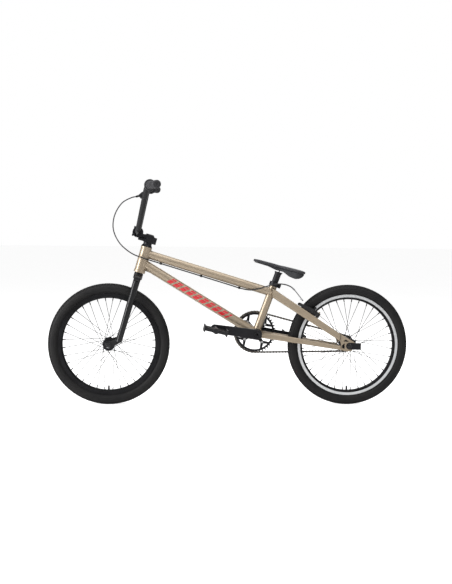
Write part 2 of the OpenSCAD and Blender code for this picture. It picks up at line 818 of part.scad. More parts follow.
module fork_steerer() {
    top = stem_bottom + stem_h - 2;
    color(black) steer_frame() difference() {
        union() {
            translate([0, 0, fork_len - 30]) cylinder(h = top - fork_len + 30, d = steerer_d);
            translate([0, 0, fork_len - 24]) cylinder(h = 24, d = 37);
            translate([0, 0, fork_len]) cylinder(h = 3.9, d = 34);
            difference() {
                translate([0, 0, fork_len - 20]) rotate([90, 0, 90])
                    linear_extrude(height = leg_top_d, center = true) crown_outline();
                translate([-40, -80, leg_top_s - 20]) cube([80, 160, 20]);
            }
        }
        translate([0, 0, fork_len - 60]) cylinder(h = 260, d = steerer_d - 5);
    }
}

// one leg with its dropout, on the left of the wheel
module fork_leg(s) {
    end_y = front_gap / 2 + drop_t / 2;
    color(black) steer_frame() mirror([0, s, 0]) difference() {
        union() {
            difference() {
                rod([0, leg_y, leg_top_s + 10], [0, end_y, leg_end_s], leg_top_d / 2, leg_end_d / 2);
                rod([0, leg_y, leg_top_s + 11], [0, end_y, leg_end_s + 6],
                    leg_top_d / 2 - 2, leg_end_d / 2 - 2);
                translate([-40, 0, leg_top_s]) cube([80, 80, 20]);
            }
            plate(front_gap / 2, front_gap / 2 + drop_t) {
                link2d([rake, 0], 14, [2, leg_end_s + 4], 10);
            }
        }
        translate([rake, 0, 0]) disc(axle_d / 2 + seat_gap, 0, front_gap);
        translate([rake - axle_d / 2 - seat_gap, 0, -40]) cube([axle_d + 2 * seat_gap, front_gap, 40]);
        translate([-10, 0, -20]) cube([80, front_gap / 2, leg_end_s + 38]);
    }
}

module fork_leg_left() {
    fork_leg(0);
}

module fork_leg_right() {
    fork_leg(1);
}

module headset_spacers() {
    bore = steerer_d / 2 + 0.1;
    color(black) steer_frame() {
        ring_on_steerer(head_top + 0.3, 8, 23, 19, bore);
        ring_on_steerer(head_top + 8.4, stem_bottom - head_top - 8.5, 17.5, 17.5, bore);
        translate([0, 0, stem_bottom + stem_h + 0.1]) cylinder(h = 4, r1 = 17, r2 = 15);
    }
}

module ring_on_steerer(s, h, r1, r2, bore) {
    difference() {
        translate([0, 0, s]) cylinder(h = h, r1 = r1, r2 = r2);
        translate([0, 0, s - 1]) cylinder(h = h + 2, r = bore);
    }
}

split_x = stem_reach + 1;
stem_w = 52;

module stem_body() {
    color(black) steer_frame() difference() {
        union() {
            translate([0, 0, stem_bottom]) cylinder(h = stem_h, r = 20);
            translate([-32, -17, stem_bottom]) cube([32, 34, stem_h - 4]);
            translate([0, -20, stem_bottom + 2]) cube([stem_reach - 8, 40, stem_h - 4]);
            intersection() {
                translate([stem_reach, 0, bar_s]) disc(22, -stem_w / 2, stem_w / 2);
                translate([0, -stem_w / 2, 0]) cube([split_x, stem_w, 600]);
            }
        }
        translate([0, 0, stem_bottom - 1]) cylinder(h = stem_h + 2, d = steerer_d + 0.1);
        translate([stem_reach, 0, bar_s]) disc(bar_d / 2 + fit, -stem_w, stem_w);
        translate([-40, -1, stem_bottom - 1]) cube([40, 2, stem_h + 2]);
        stem_bolt_places() cylinder(h = 80, r = 3.1, center = true);
        clamp_bolt_places() cylinder(h = 80, r = 3.1, center = true);
    }
}

// four faceplate bolts, along X of the steering frame
module stem_bolt_places() {
    for (y = [-19, 19]) for (z = [-16, 16])
        translate([stem_reach, y, bar_s + z]) rotate([0, 90, 0]) children();
}

// two steerer clamp bolts, across the stem
module clamp_bolt_places() {
    for (z = [7, stem_h - 11])
        translate([-25, 0, stem_bottom + z]) rotate([90, 0, 0]) children();
}

module stem_faceplate() {
    color(black) steer_frame() difference() {
        intersection() {
            translate([stem_reach, 0, bar_s]) disc(22, -stem_w / 2, stem_w / 2);
            translate([split_x + 1, -stem_w / 2, 0]) cube([60, stem_w, 600]);
        }
        translate([stem_reach, 0, bar_s]) disc(bar_d / 2 + fit, -stem_w, stem_w);
        stem_bolt_places() cylinder(h = 80, r = 3.1, center = true);
        stem_bolt_places() translate([0, 0, 14.8]) cylinder(h = 20, r = 5.2);
        translate([stem_reach + 14, -12, bar_s - 11]) cube([20, 24, 22]);
    }
}

module stem_bolts() {
    color(steel) steer_frame() {
        stem_bolt_places() {
            translate([0, 0, -12]) cylinder(h = 27, r = 3);
            translate([0, 0, 15.2]) cylinder(h = 5, r = 4.8);
        }
        clamp_bolt_places() {
            translate([0, 0, -15]) cylinder(h = 32, r = 3);
            translate([0, 0, 17.1]) cylinder(h = 5, r = 4.8);
        }
    }
}

bar_route = [[knee.x - (bar_end_y - knee_y) * tan(bar_sweep), -bar_end_y, knee.z],
    [knee.x, -knee_y, knee.z], [bar_c.x, -foot_y, bar_c.z], [bar_c.x, foot_y, bar_c.z],
    [knee.x, knee_y, knee.z], bar_end];
bar_wall = 1.6;
cross_r = 7;
cross_t = 0.62;                     // height of the crossbar along the uprights
cross_y = foot_y + cross_t * (knee_y - foot_y);
cross_c = bar_c + cross_t * (knee - bar_c);

module handlebar() {
    color(black) {
        difference() {
            union() {
                bent_rod(bar_route, bend_high, bar_d / 2);
                rod([cross_c.x, -cross_y, cross_c.z], [cross_c.x, cross_y, cross_c.z], cross_r);
            }
            bent_rod(bar_route, bend_high, bar_d / 2 - bar_wall);
        }
    }
}

grip_dir = unit(bar_end - [knee.x, knee_y, knee.z]);

module grips() {
    tip = bar_end + 3 * grip_dir;
    root = tip - grip_len * grip_dir;
    color(rubber) mirror_y() difference() {
        union() {
            rod(root, tip, grip_d / 2);
            rod(root, root + 5 * grip_dir, grip_flange_d / 2);
        }
        rod(root - grip_dir, bar_end, bar_d / 2 + fit);
    }
}

// the perch clamps the bar inboard of the right grip
perch_y = bar_w / 2 - grip_len - 10;
perch_c = [knee.x - (perch_y - knee_y) * tan(bar_sweep), -perch_y, knee.z];
lever_pitch = 40;                   // the lever points this far below the horizontal
lever_pivot = [46, 2, 0];
lever_bend = [58, -24];
lever_reach = [52, -72];
lever_tip = [56, -96];
barrel_mouth = [63.2, 30.9, 6.4];   // where the cable housing meets the perch

module perch_frame() {
    translate(perch_c) rotate([0, 0, -bar_sweep]) rotate([0, lever_pitch, 0]) children();
}

module brake_lever_perch() {
    color(black) perch_frame() difference() {
        union() {
            disc(15.5, -8, 8);
            translate([8, -8, -7]) cube([30, 23, 14]);
            translate([32, -12, -9]) cube([22, 26, 3.5]);
            translate([32, -12, 5.5]) cube([22, 26, 3.5]);
            translate([34, 11, -7]) cube([18, 6, 14]);
            rod([46, 11.5, 0], barrel_mouth, 4.5);
        }
        disc(bar_d / 2 + fit, -40, 40);
        translate([lever_pivot.x, lever_pivot.y, -20]) cylinder(h = 40, r = 2.55);
        translate([38.2, -30, -5.5]) cube([40, 41, 11]);
    }
}

module brake_lever_blade() {
    color(black) perch_frame() {
        difference() {
            union() {
                translate([lever_pivot.x, lever_pivot.y, -5.2]) cylinder(h = 10.4, r = 7);
                translate([0, 0, -5.2]) linear_extrude(height = 10.4) {
                    link2d([lever_pivot.x, lever_pivot.y], 6.9, lever_bend, 5);
                    link2d(lever_bend, 5, lever_reach, 5);
                    link2d(lever_reach, 5, lever_tip, 6);
                }
            }
            translate([lever_pivot.x, lever_pivot.y, -20]) cylinder(h = 40, r = 2.55);
        }
        translate([lever_pivot.x, lever_pivot.y, -9]) cylinder(h = 18, r = 2.5);
    }
}

module front_axle() {
    color(steel) translate(axle_front) axle(front_gap / 2 + drop_t + 15, front_gap, hub_end_front);
}

module front_axle_nuts() {
    color(black) translate(axle_front) mirror_y() axle_nut(front_gap / 2 + drop_t + 0.2);
}

module brake_cable_loop() {
    color(black) cord(loop_route, 3, cable_d / 2, 8);
}

// ---------- wheels, drawn about the Y axis at the origin ----------

module lathe_y() {
    rotate([90, 0, 0]) rotate_extrude($fn = 96) children();
}

module tyre() {
    casing_r = tyre_w / 2;
    bead_y = rim_w / 2 - 4.9;
    lathe_y() difference() {
        union() {
            translate([tyre_c, 0]) circle(r = casing_r);
            for (s = [-1, 1]) translate([rim_seat_r + 2.4, s * bead_y]) circle(r = 2.3);
        }
        difference() {
            union() {
                translate([tyre_c, 0]) circle(r = casing_r - tyre_wall);
                translate([rim_seat_r - 20, -bead_y]) square([26, 2 * bead_y]);
            }
            for (s = [-1, 1]) translate([rim_seat_r + 2.4, s * bead_y]) circle(r = 2.3);
        }
    }
}

valve_r = 3.9;

module inner_tube() {
    tube_r = tyre_w / 2 - tyre_wall - 0.6;
    difference() {
        union() {
            lathe_y() translate([tyre_c, 0]) circle(r = tube_r);
            mirror([0, 0, 1]) translate([0, 0, rim_in_r - 17])
                cylinder(h = tyre_c - tube_r - rim_in_r + 19, r = valve_r);
        }
        lathe_y() translate([tyre_c, 0]) circle(r = tube_r - 1.2);
        mirror([0, 0, 1]) translate([0, 0, rim_in_r - 18]) cylinder(h = tyre_c - rim_in_r + 10, r = 1.2);
    }
}

module rim_profile() {
    h = rim_w / 2;
    difference() {
        polygon([[rim_in_r, -8], [rim_in_r + 5.5, -h], [rim_out_r, -h], [rim_out_r, -h + 2.5],
            [rim_seat_r, -h + 2.5], [rim_seat_r - 2.5, -h + 6], [rim_seat_r - 2.5, h - 6],
            [rim_seat_r, h - 2.5], [rim_out_r, h - 2.5], [rim_out_r, h], [rim_in_r + 5.5, h],
            [rim_in_r, 8]]);
        polygon([[rim_in_r + 2, -7], [rim_in_r + 6.5, -h + 2], [rim_seat_r - 6, -h + 2],
            [rim_seat_r - 4.5, -h + 6], [rim_seat_r - 4.5, h - 6], [rim_seat_r - 6, h - 2],
            [rim_in_r + 6.5, h - 2], [rim_in_r + 2, 7]]);
    }
}

// 36 spokes, crossed three times, alternately from the left and the right flange
spoke_step = 360 / spoke_count;
elbow_r = spoke_d / 2 + 0.15;
function spoke_side(i) = (i % 2 == 0) ? 1 : -1;
function spoke_lead(i) = (floor(i / 2) % 2 == 0) ? 1 : -1;
function rim_angle(i) = -90 + (i + 0.5) * spoke_step;
function hub_angle(i) = rim_angle(i) + spoke_lead(i) * 6 * spoke_step;
function polar(r, a, y) = [r * cos(a), y, r * sin(a)];
function spoke_rim(i) = polar(rim_in_r + 1, rim_angle(i), spoke_side(i) * 2.5);
function spoke_off(i) = spoke_out + (spoke_lead(i) > 0 ? spoke_lift : 0);
function spoke_hub(i) = polar(flange_hole_r, hub_angle(i),
    spoke_side(i) * (flange_y + spoke_lead(i) * spoke_off(i)));

module rim() {
    difference() {
        lathe_y() rim_profile();
        for (i = [0:spoke_count - 1]) {
            d = unit(spoke_rim(i) - spoke_hub(i));
            rod(spoke_rim(i) - 6 * d, spoke_rim(i) + 4 * d, 2.2);
        }
        mirror([0, 0, 1]) translate([0, 0, rim_in_r - 4]) cylinder(h = 20, r = valve_r + 0.3);
    }
}

module spokes() {
    for (i = [0:spoke_count - 1]) {
        p = spoke_hub(i);
        q = spoke_rim(i);
        d = unit(q - p);
        side = spoke_side(i) * spoke_lead(i);
        rod(p, q, spoke_d / 2);
        translate([p.x, spoke_side(i) * flange_y, p.z]) mirror([0, side > 0 ? 0 : 1, 0]) {
            disc(elbow_r, -flange_t / 2 - 1, spoke_off(i) + 1.1);
            disc(1.9, -flange_t / 2 - 1.4, -flange_t / 2 - 0.3);
        }
        rod(q - 12 * d, q + 3.4 * d, 2);
        rod(q + 2 * d, q + 3.4 * d, 3);
    }
}

module hub(hub_end, barrel_r, driver_end) {
    difference() {
        union() {
            disc(barrel_r, -flange_y, flange_y);
            disc(hub_bearing_r + 3, -driver_end, hub_end);
            mirror_y() disc(flange_d / 2, flange_y - flange_t / 2, flange_y + flange_t / 2);
        }
        disc(axle_d / 2 + 2, -80, 80);
        disc(hub_bearing_r + 0.02, hub_end - 8.2, 80);
        disc(hub_bearing_r + 0.02, -80, 8.2 - driver_end);
        for (i = [0:spoke_count - 1])
            translate(polar(flange_hole_r, hub_angle(i), spoke_side(i) * flange_y))
                disc(elbow_r + 0.15, -4, 4);
    }
}

module hub_bearings(left_end, right_end) {
    disc(hub_bearing_r, left_end - 8, left_end, axle_d / 2 + fit);
    disc(hub_bearing_r, -right_end, 8 - right_end, axle_d / 2 + fit);
}

module front_tyre() {
    color(rubber) translate(axle_front) tyre();
}

module front_inner_tube() {
    color(black) translate(axle_front) inner_tube();
}

module front_rim() {
    color(black) translate(axle_front) rim();
}

module front_spokes() {
    color(black) translate(axle_front) spokes();
}

module front_hub() {
    color(black) translate(axle_front) hub(hub_end_front, 16.5, hub_end_front);
}

module front_hub_bearings() {
    color(steel) translate(axle_front) hub_bearings(hub_end_front, hub_end_front);
}

module rear_tyre() {
    color(rubber) translate(axle_rear) tyre();
}

module rear_inner_tube() {
    color(black) translate(axle_rear) inner_tube();
}

module rear_rim() {
    color(steel) translate(axle_rear) rim();
}

module rear_spokes() {
    color(black) translate(axle_rear) spokes();
}

module rear_hub() {
    color(black) translate(axle_rear) hub(hub_end_rear, 16.5, hub_end_rear);
}

module rear_hub_bearings() {
    color(steel) translate(axle_rear) hub_bearings(hub_end_rear, hub_end_rear);
}

// ---------- drivetrain ----------

module rear_cog() {
    seat_r = hub_bearing_r + 3;
    color(steel) translate(axle_rear) difference() {
        union() {
            translate([0, -chain_line, 0]) plate(-sprocket_t / 2, sprocket_t / 2)
                sprocket2d(cog_teeth, cog_pr, cog_a(0));
            disc(23, -hub_end_rear + 0.5, -flange_y - flange_t / 2 - 6);
        }
        disc(seat_r + fit, -80, 0);
    }
}

module chainring() {
    color(black) translate(bb) translate([0, -chain_line, 0]) difference() {
        plate(-sprocket_t / 2, sprocket_t / 2) difference() {
            union() {
                difference() {
                    sprocket2d(ring_teeth, ring_pr, ring_a(0));
                    circle(r = ring_pr - 12.5);
                }
                for (k = [0:3]) rotate(ring_bolt_a + 90 * k) {
                    for (s = [-1, 1])
                        link2d([bolt_circle_r, 0], 6.5, [(ring_pr - 8) * cos(s * 17),
                            (ring_pr - 8) * sin(s * 17)], 4);
                }
            }
            for (k = [0:3]) rotate(ring_bolt_a + 90 * k) translate([bolt_circle_r, 0]) circle(r = 4.1);
        }
    }
}

module crank_arm_shape() {
    link2d([0, 0], arm_r, [crank_len, 0], arm_end_r);
}

module crank_arm_left() {
    color(black) crank_frame(0) difference() {
        plate(arm_in, arm_in + arm_t) crank_arm_shape();
        disc(spindle_r + fit, 0, arm_in + 12);
        disc(9.5, 0, arm_in + arm_t + 1);
        translate([crank_len, 0, 0]) disc(thread_r + fit, 0, 100);
    }
}

module crank_arm_right() {
    color(black) difference() {
        union() {
            crank_frame(180) plate(-arm_in - arm_t, -arm_in) crank_arm_shape();
            translate(bb) plate(-arm_in - spider_t, -arm_in) {
                circle(r = 16);
                for (k = [0:3]) rotate(ring_bolt_a + 90 * k)
                    polygon([[0, -12], [bolt_circle_r, -6.5], [bolt_circle_r, 6.5], [0, 12]]);
            }
            translate(bb) ring_bolt_places()
                disc(7.5, -arm_in - spider_t, -chain_line - sprocket_t / 2 - seat_gap);
        }
        translate(bb) disc(spindle_r + fit, -arm_in - 12, 0);
        translate(bb) disc(9.5, -arm_in - arm_t - 1, 0);
        crank_frame(180) translate([crank_len, 0, 0]) disc(thread_r + fit, -100, 0);
        translate(bb) ring_bolt_places() disc(4.1, -60, 0);
    }
}

module ring_bolt_places() {
    for (k = [0:3]) {
        a = ring_bolt_a + 90 * k;
        translate([bolt_circle_r * cos(a), 0, bolt_circle_r * sin(a)]) children();
    }
}

module crank_spindle() {
    color(steel) translate(bb) difference() {
        union() {
            disc(spindle_r, -arm_in - 12, arm_in + 12);
            mirror_y() disc(15, cup_y + 0.3, arm_in - seat_gap);
        }
        disc(7, -arm_in - 13, arm_in + 13);
    }
}

// four chainring bolts and the two bolts that hold the arms on the spindle
module crankset_bolts() {
    ring_in = -chain_line + sprocket_t / 2;
    color(steel) translate(bb) {
        ring_bolt_places() {
            disc(4, -arm_in - spider_t - 0.2, ring_in + 0.1);
            disc(5, ring_in + 0.1, ring_in + 1.6);
            disc(5, -arm_in - spider_t - 1.8, -arm_in - spider_t - 0.2);
        }
        mirror_y() {
            disc(6.9, arm_in - 10, arm_in + 12.2);
            disc(9.4, arm_in + 12.2, arm_in + arm_t - 1);
        }
    }
}

module pedal_spindle() {
    disc(thread_r, arm_in + 1, arm_in + arm_t);
    disc(7, arm_in + arm_t, pedal_in + pedal_w - 12);
    disc(10, arm_in + arm_t + 0.3, pedal_in - 1);
}

module pedal_spindles() {
    color(steel) {
        crank_frame(0) translate([crank_len, 0, 0]) pedal_spindle();
        crank_frame(180) translate([crank_len, 0, 0]) mirror([0, 1, 0]) pedal_spindle();
    }
}

// platform pedal: barrel, two toothed rails and three webs
module pedal_body() {
    y1 = pedal_in + pedal_w;
    rail_t = 5;
    difference() {
        union() {
            disc(11.5, pedal_in, y1);
            for (s = [-1, 1]) {
                translate([s * (pedal_l - rail_t) / 2 - rail_t / 2, pedal_in + 3, -pedal_h / 2])
                    cube([rail_t, pedal_w - 6, pedal_h - 5]);
                for (k = [0:6])
                    translate([s * (pedal_l - rail_t) / 2 - rail_t / 2,
                        pedal_in + 4 + k * (pedal_w - 14) / 6, -pedal_h / 2])
                        cube([rail_t, 6, pedal_h]);
            }
            for (y = [pedal_in + 3, pedal_in + pedal_w / 2 - 4, y1 - 11])
                translate([-pedal_l / 2 + 1, y, -7]) cube([pedal_l - 2, 8, 14]);
        }
        disc(thread_r + fit, pedal_in - 1, y1 - 11.5);
        disc(8, y1 - 12, y1 - 3);
    }
}

module pedal_left() {
    color(black) crank_frame(0) translate([crank_len, 0, 0])
        rotate([0, crank_angle - pedal_tilt, 0]) pedal_body();
}

module pedal_right() {
    color(black) crank_frame(180) translate([crank_len, 0, 0])
        rotate([0, crank_angle + 180 - pedal_tilt, 0]) mirror([0, 1, 0]) pedal_body();
}

// ---------- brake arms ----------

arm_z0 = -7;
arm_crown = 12;                     // the arm is deepest between its pivot and its pad
pad_y = rim_w / 2 + pad_gap;

// arm on the left side, drawn in the frame of its pivot: Z along the pivot, X up the stay
module brake_arm(noodle) {
    out = boss_gap / 2;
    difference() {
        union() {
            translate([0, 0, arm_z0]) cylinder(h = arm_crown - arm_z0, r = 8);
            plate(-6, 4) polygon([[0, arm_z0 + 1], [brake_arm, arm_z0 + 1], [brake_arm, arm_z0 + 12],
                [brake_arm - 16, arm_z0 + 15], [brake_arm - 44, arm_crown + 1], [12, arm_crown + 1],
                [0, arm_crown - 1]]);
            translate([pad_reach, -8, arm_z0 + 7]) rotate([-90, 0, 0]) cylinder(h = 13, r = 8);
            if (noodle) translate([brake_arm - 4, -8, arm_z0 + 1]) cube([12, 14, 12]);
            if (!noodle) translate([brake_arm - 3, -9, arm_z0 + 6])
                rotate([-90, 0, 0]) cylinder(h = 16, r = 6);
        }
        translate([0, 0, -20]) cylinder(h = 50, r = 4.05);
    }
    translate([pad_reach, pad_y - out + 9, arm_z0 + 7]) rotate([-90, 0, 0])
        cylinder(h = out - pad_y - 9 + 12, r = 3);
}

module brake_arm_left() {
    color(black) left_arm(true);
}

module brake_arm_right() {
    color(black) mirror([0, 1, 0]) left_arm(false);
}

module left_arm(noodle) {
    difference() {
        boss_frame() brake_arm(noodle);
        if (noodle) rod([-299, 60, 434], [-299, 0, 434], 2.6);
        if (!noodle) rod([-299, 60, 434], [-299, 0, 434], 1);
    }
    brake_pad();
}

module brake_pad() {
    a = boss_angle - 1.6;
    c = axle_rear + pad_r * [cos(a), 0, sin(a)];
    translate(c) rotate([0, 90 - a, 0])
        translate([-27, pad_y, -4.5]) cube([54, 9, 9]);
}

head_tube();
top_tube();
down_tube();
seat_tube();
bottom_bracket_shell();
chain_stays();
seat_stays();
rear_dropouts();
brake_bosses();
frame_gussets();
headset_bearings();
bottom_bracket_bearings();
seat_clamp();
cable_clips();
brake_cable();
chain_tensioners();
rear_axle();
rear_axle_nuts();
drive_chain();
seat_post();
saddle_base();
saddle_pad();
saddle_bolt();
fork_steerer();
fork_leg_left();
fork_leg_right();
stem_body();
stem_faceplate();
stem_bolts();
headset_spacers();
handlebar();
grips();
brake_lever_perch();
front_axle();
front_axle_nuts();
brake_cable_loop();
front_tyre();
front_inner_tube();
front_rim();
front_spokes();
front_hub();
front_hub_bearings();
rear_tyre();
rear_inner_tube();
rear_rim();
rear_spokes();
rear_hub();
rear_hub_bearings();
rear_cog();
crank_arm_left();
crank_arm_right();
crank_spindle();
chainring();
crankset_bolts();
pedal_spindles();
pedal_left();
pedal_right();
brake_lever_blade();
brake_arm_left();
brake_arm_right();
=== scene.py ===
"""A 20 inch BMX race bike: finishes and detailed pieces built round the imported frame."""
import json
import math

import bmesh
import bpy
from mathutils import Matrix, Vector


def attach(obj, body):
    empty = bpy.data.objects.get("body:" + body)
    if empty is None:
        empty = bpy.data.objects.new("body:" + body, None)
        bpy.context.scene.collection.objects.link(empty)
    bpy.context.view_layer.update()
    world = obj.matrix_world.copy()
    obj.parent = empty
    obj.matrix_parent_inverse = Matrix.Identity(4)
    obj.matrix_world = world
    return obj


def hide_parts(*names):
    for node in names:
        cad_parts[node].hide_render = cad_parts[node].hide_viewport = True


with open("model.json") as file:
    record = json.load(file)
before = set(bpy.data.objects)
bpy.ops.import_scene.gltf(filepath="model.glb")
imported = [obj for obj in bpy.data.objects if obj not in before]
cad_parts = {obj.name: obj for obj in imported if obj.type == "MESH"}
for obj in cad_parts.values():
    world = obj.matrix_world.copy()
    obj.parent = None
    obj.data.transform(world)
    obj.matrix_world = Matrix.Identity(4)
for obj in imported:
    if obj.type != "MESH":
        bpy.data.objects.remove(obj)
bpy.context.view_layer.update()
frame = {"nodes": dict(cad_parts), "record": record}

NODES = frame["nodes"]
BODY_OF = {
    node: body
    for body, members in frame["record"]["behaviour"]["bodies"].items()
    for node in members
}
SLOT_OF = {part["node"]: part["material_slot"] for part in frame["record"]["subparts"]}
MM = 0.001

# places and directions that the frame is built on, in metres
HALF_WHEELBASE = 0.492
TYRE_R = 0.249
REAR_AXLE = Vector((-HALF_WHEELBASE, 0, TYRE_R))
FRONT_AXLE = Vector((HALF_WHEELBASE, 0, TYRE_R))
BOTTOM_BRACKET = Vector((-0.110887, 0, 0.296))
STEER_UP = Vector((-math.cos(math.radians(74)), 0, math.sin(math.radians(74))))
STEER_FORWARD = Vector((STEER_UP.z, 0, -STEER_UP.x))
STEER_FOOT = FRONT_AXLE - 0.036 * STEER_FORWARD
SEAT_UP = Vector((-math.cos(math.radians(70)), 0, math.sin(math.radians(70))))
TOP_TUBE = (STEER_FOOT + 0.398 * STEER_UP, BOTTOM_BRACKET + 0.180 * SEAT_UP)
DOWN_TUBE = (STEER_FOOT + 0.358 * STEER_UP, BOTTOM_BRACKET)
HEAD_R = 0.022
SEAT_R = 0.0159
SHELL_R = 0.021


# ---------- camera, light and floor ----------

LENS = 68.72
SENSOR = 36
CAMERA_PLACE = Vector((0.29316, 4.56886, 0.74868))
CAMERA_AZIMUTH = math.radians(3.50)
CAMERA_ELEVATION = math.radians(3.55)
CAMERA_ROLL = math.radians(0.55)
WORLD_STRENGTH = 0.33
FLOOR_HALF = 30
FLOOR_GLOW = 0.66


def aimed(direction, roll=0.0):
    """Rotation whose Z points back along a viewing direction, turned by roll."""
    back = -direction.normalized()
    right = direction.cross(Vector((0, 0, 1))).normalized()
    up = back.cross(right)
    turned = right * math.cos(roll) + up * math.sin(roll)
    return Matrix((turned, back.cross(turned), back)).transposed().to_4x4()


def add_camera():
    """A long lens at the rider's left, a little towards the front wheel and above the hubs."""
    data = bpy.data.cameras.new("camera")
    data.sensor_width = SENSOR
    data.lens = LENS
    camera = bpy.data.objects.new("camera", data)
    bpy.context.scene.collection.objects.link(camera)
    back = Vector((
        math.sin(CAMERA_AZIMUTH) * math.cos(CAMERA_ELEVATION),
        math.cos(CAMERA_AZIMUTH) * math.cos(CAMERA_ELEVATION),
        math.sin(CAMERA_ELEVATION),
    ))
    camera.matrix_world = Matrix.Translation(CAMERA_PLACE) @ aimed(-back, CAMERA_ROLL)
    bpy.context.scene.camera = camera


def add_lamp(name, place, target, size, power):
    """A soft box of a width and height, facing its target; power is in watts."""
    data = bpy.data.lights.new(name, "AREA")
    data.shape = "RECTANGLE"
    data.size, data.size_y = size
    data.energy = power
    lamp = bpy.data.objects.new(name, data)
    bpy.context.scene.collection.objects.link(lamp)
    direction = Vector(target) - Vector(place)
    lamp.matrix_world = Matrix.Translation(place) @ aimed(direction)


def add_lamps():
    """Soft light from above, from the front wheel's end, and a little from each side."""
    add_lamp("overhead", (0.1, 0.6, 3.2), (0, 0, 0.3), (4.5, 3.0), 88)
    add_lamp("front_end", (3.4, 1.2, 1.3), (0, 0, 0.4), (1.2, 2.2), 105)
    add_lamp("viewer_side", (-1.6, 3.6, 1.8), (0, 0, 0.4), (2.2, 1.6), 13)
    add_lamp("far_side", (-1.2, -3.4, 2.2), (0, 0, 0.4), (2.6, 2.0), 34)


def add_world():
    """Pale light from all round, which the camera itself sees as plain white."""
    world = bpy.data.worlds.new("studio")
    world.use_nodes = True
    nodes, links = world.node_tree.nodes, world.node_tree.links
    soft = nodes["Background"]
    soft.inputs["Strength"].default_value = WORLD_STRENGTH
    seen = nodes.new("ShaderNodeBackground")
    rays = nodes.new("ShaderNodeLightPath")
    chosen = nodes.new("ShaderNodeMixShader")
    for background in (soft, seen):
        background.inputs["Color"].default_value = (1, 1, 1, 1)
    links.new(rays.outputs["Is Camera Ray"], chosen.inputs["Fac"])
    links.new(soft.outputs[0], chosen.inputs[1])
    links.new(seen.outputs[0], chosen.inputs[2])
    links.new(chosen.outputs[0], nodes["World Output"].inputs["Surface"])
    bpy.context.scene.world = world
    bpy.context.scene.view_settings.view_transform = "Standard"


def add_floor():
    bm = bmesh.new()
    bmesh.ops.create_grid(bm, x_segments=2, y_segments=2, size=FLOOR_HALF)
    mesh = bpy.data.meshes.new("floor")
    bm.to_mesh(mesh)
    bm.free()
    floor = bpy.data.objects.new("floor", mesh)
    bpy.context.scene.collection.objects.link(floor)
    mesh.materials.append(floor_paint())


def add_studio():
    add_lamps()
    add_world()
    add_floor()


# ---------- shader building ----------

def link(tree, source, target):
    tree.links.new(source, target)


def math_node(tree, operation, first, second=None, clamp=False):
    """A Math node; each operand is a socket or a number."""
    node = tree.nodes.new("ShaderNodeMath")
    node.operation = operation
    node.use_clamp = clamp
    for socket, value in zip(node.inputs, (first, second)):
        if value is None:
            continue
        if isinstance(value, bpy.types.NodeSocket):
            link(tree, value, socket)
        else:
            socket.default_value = value
    return node.outputs[0]


def noise_node(tree, vector, scale, detail=3.0, rough=0.55):
    node = tree.nodes.new("ShaderNodeTexNoise")
    link(tree, vector, node.inputs["Vector"])
    if isinstance(scale, bpy.types.NodeSocket):
        link(tree, scale, node.inputs["Scale"])
    else:
        node.inputs["Scale"].default_value = scale
    node.inputs["Detail"].default_value = detail
    node.inputs["Roughness"].default_value = rough
    return node.outputs["Fac"]


def range_node(tree, value, low, high, to_low=0.0, to_high=1.0):
    node = tree.nodes.new("ShaderNodeMapRange")
    link(tree, value, node.inputs["Value"])
    for name, number in (("From Min", low), ("From Max", high), ("To Min", to_low), ("To Max", to_high)):
        node.inputs[name].default_value = number
    return node.outputs["Result"]


def colour_mix(tree, factor, first, second):
    """Mixes two colours; each is a socket or an RGB triple."""
    node = tree.nodes.new("ShaderNodeMix")
    node.data_type = "RGBA"
    if isinstance(factor, bpy.types.NodeSocket):
        link(tree, factor, node.inputs["Factor"])
    else:
        node.inputs["Factor"].default_value = factor
    for socket, value in ((node.inputs["A"], first), (node.inputs["B"], second)):
        if isinstance(value, bpy.types.NodeSocket):
            link(tree, value, socket)
        else:
            socket.default_value = (*value, 1)
    return node.outputs["Result"]


def new_group(name, inputs, outputs):
    """An empty node group; inputs are (name, default), outputs are names, all of them values but Vector."""
    tree = bpy.data.node_groups.new(name, "ShaderNodeTree")
    for title, default in inputs:
        kind = "NodeSocketVector" if title == "Vector" else "NodeSocketFloat"
        socket = tree.interface.new_socket(title, in_out="INPUT", socket_type=kind)
        if kind == "NodeSocketFloat":
            socket.default_value = default
    for title in outputs:
        tree.interface.new_socket(title, in_out="OUTPUT", socket_type="NodeSocketFloat")
    return tree, tree.nodes.new("NodeGroupInput").outputs, tree.nodes.new("NodeGroupOutput").inputs


def make_variation_group():
    """Broad patches, smudges and a fine grain, for every finish."""
    tree, given, out = new_group(
        "surface_variation",
        [("Vector", None), ("Patch Scale", 9.0), ("Grain Scale", 900.0)],
        ["Patches", "Smudges", "Grain"],
    )
    patches = noise_node(tree, given["Vector"], given["Patch Scale"], 2.0)
    link(tree, range_node(tree, patches, 0.3, 0.7), out["Patches"])
    smudges = noise_node(tree, given["Vector"], 46.0, 5.0, 0.65)
    link(tree, range_node(tree, smudges, 0.35, 0.72), out["Smudges"])
    link(tree, noise_node(tree, given["Vector"], given["Grain Scale"], 2.0), out["Grain"])
    return tree


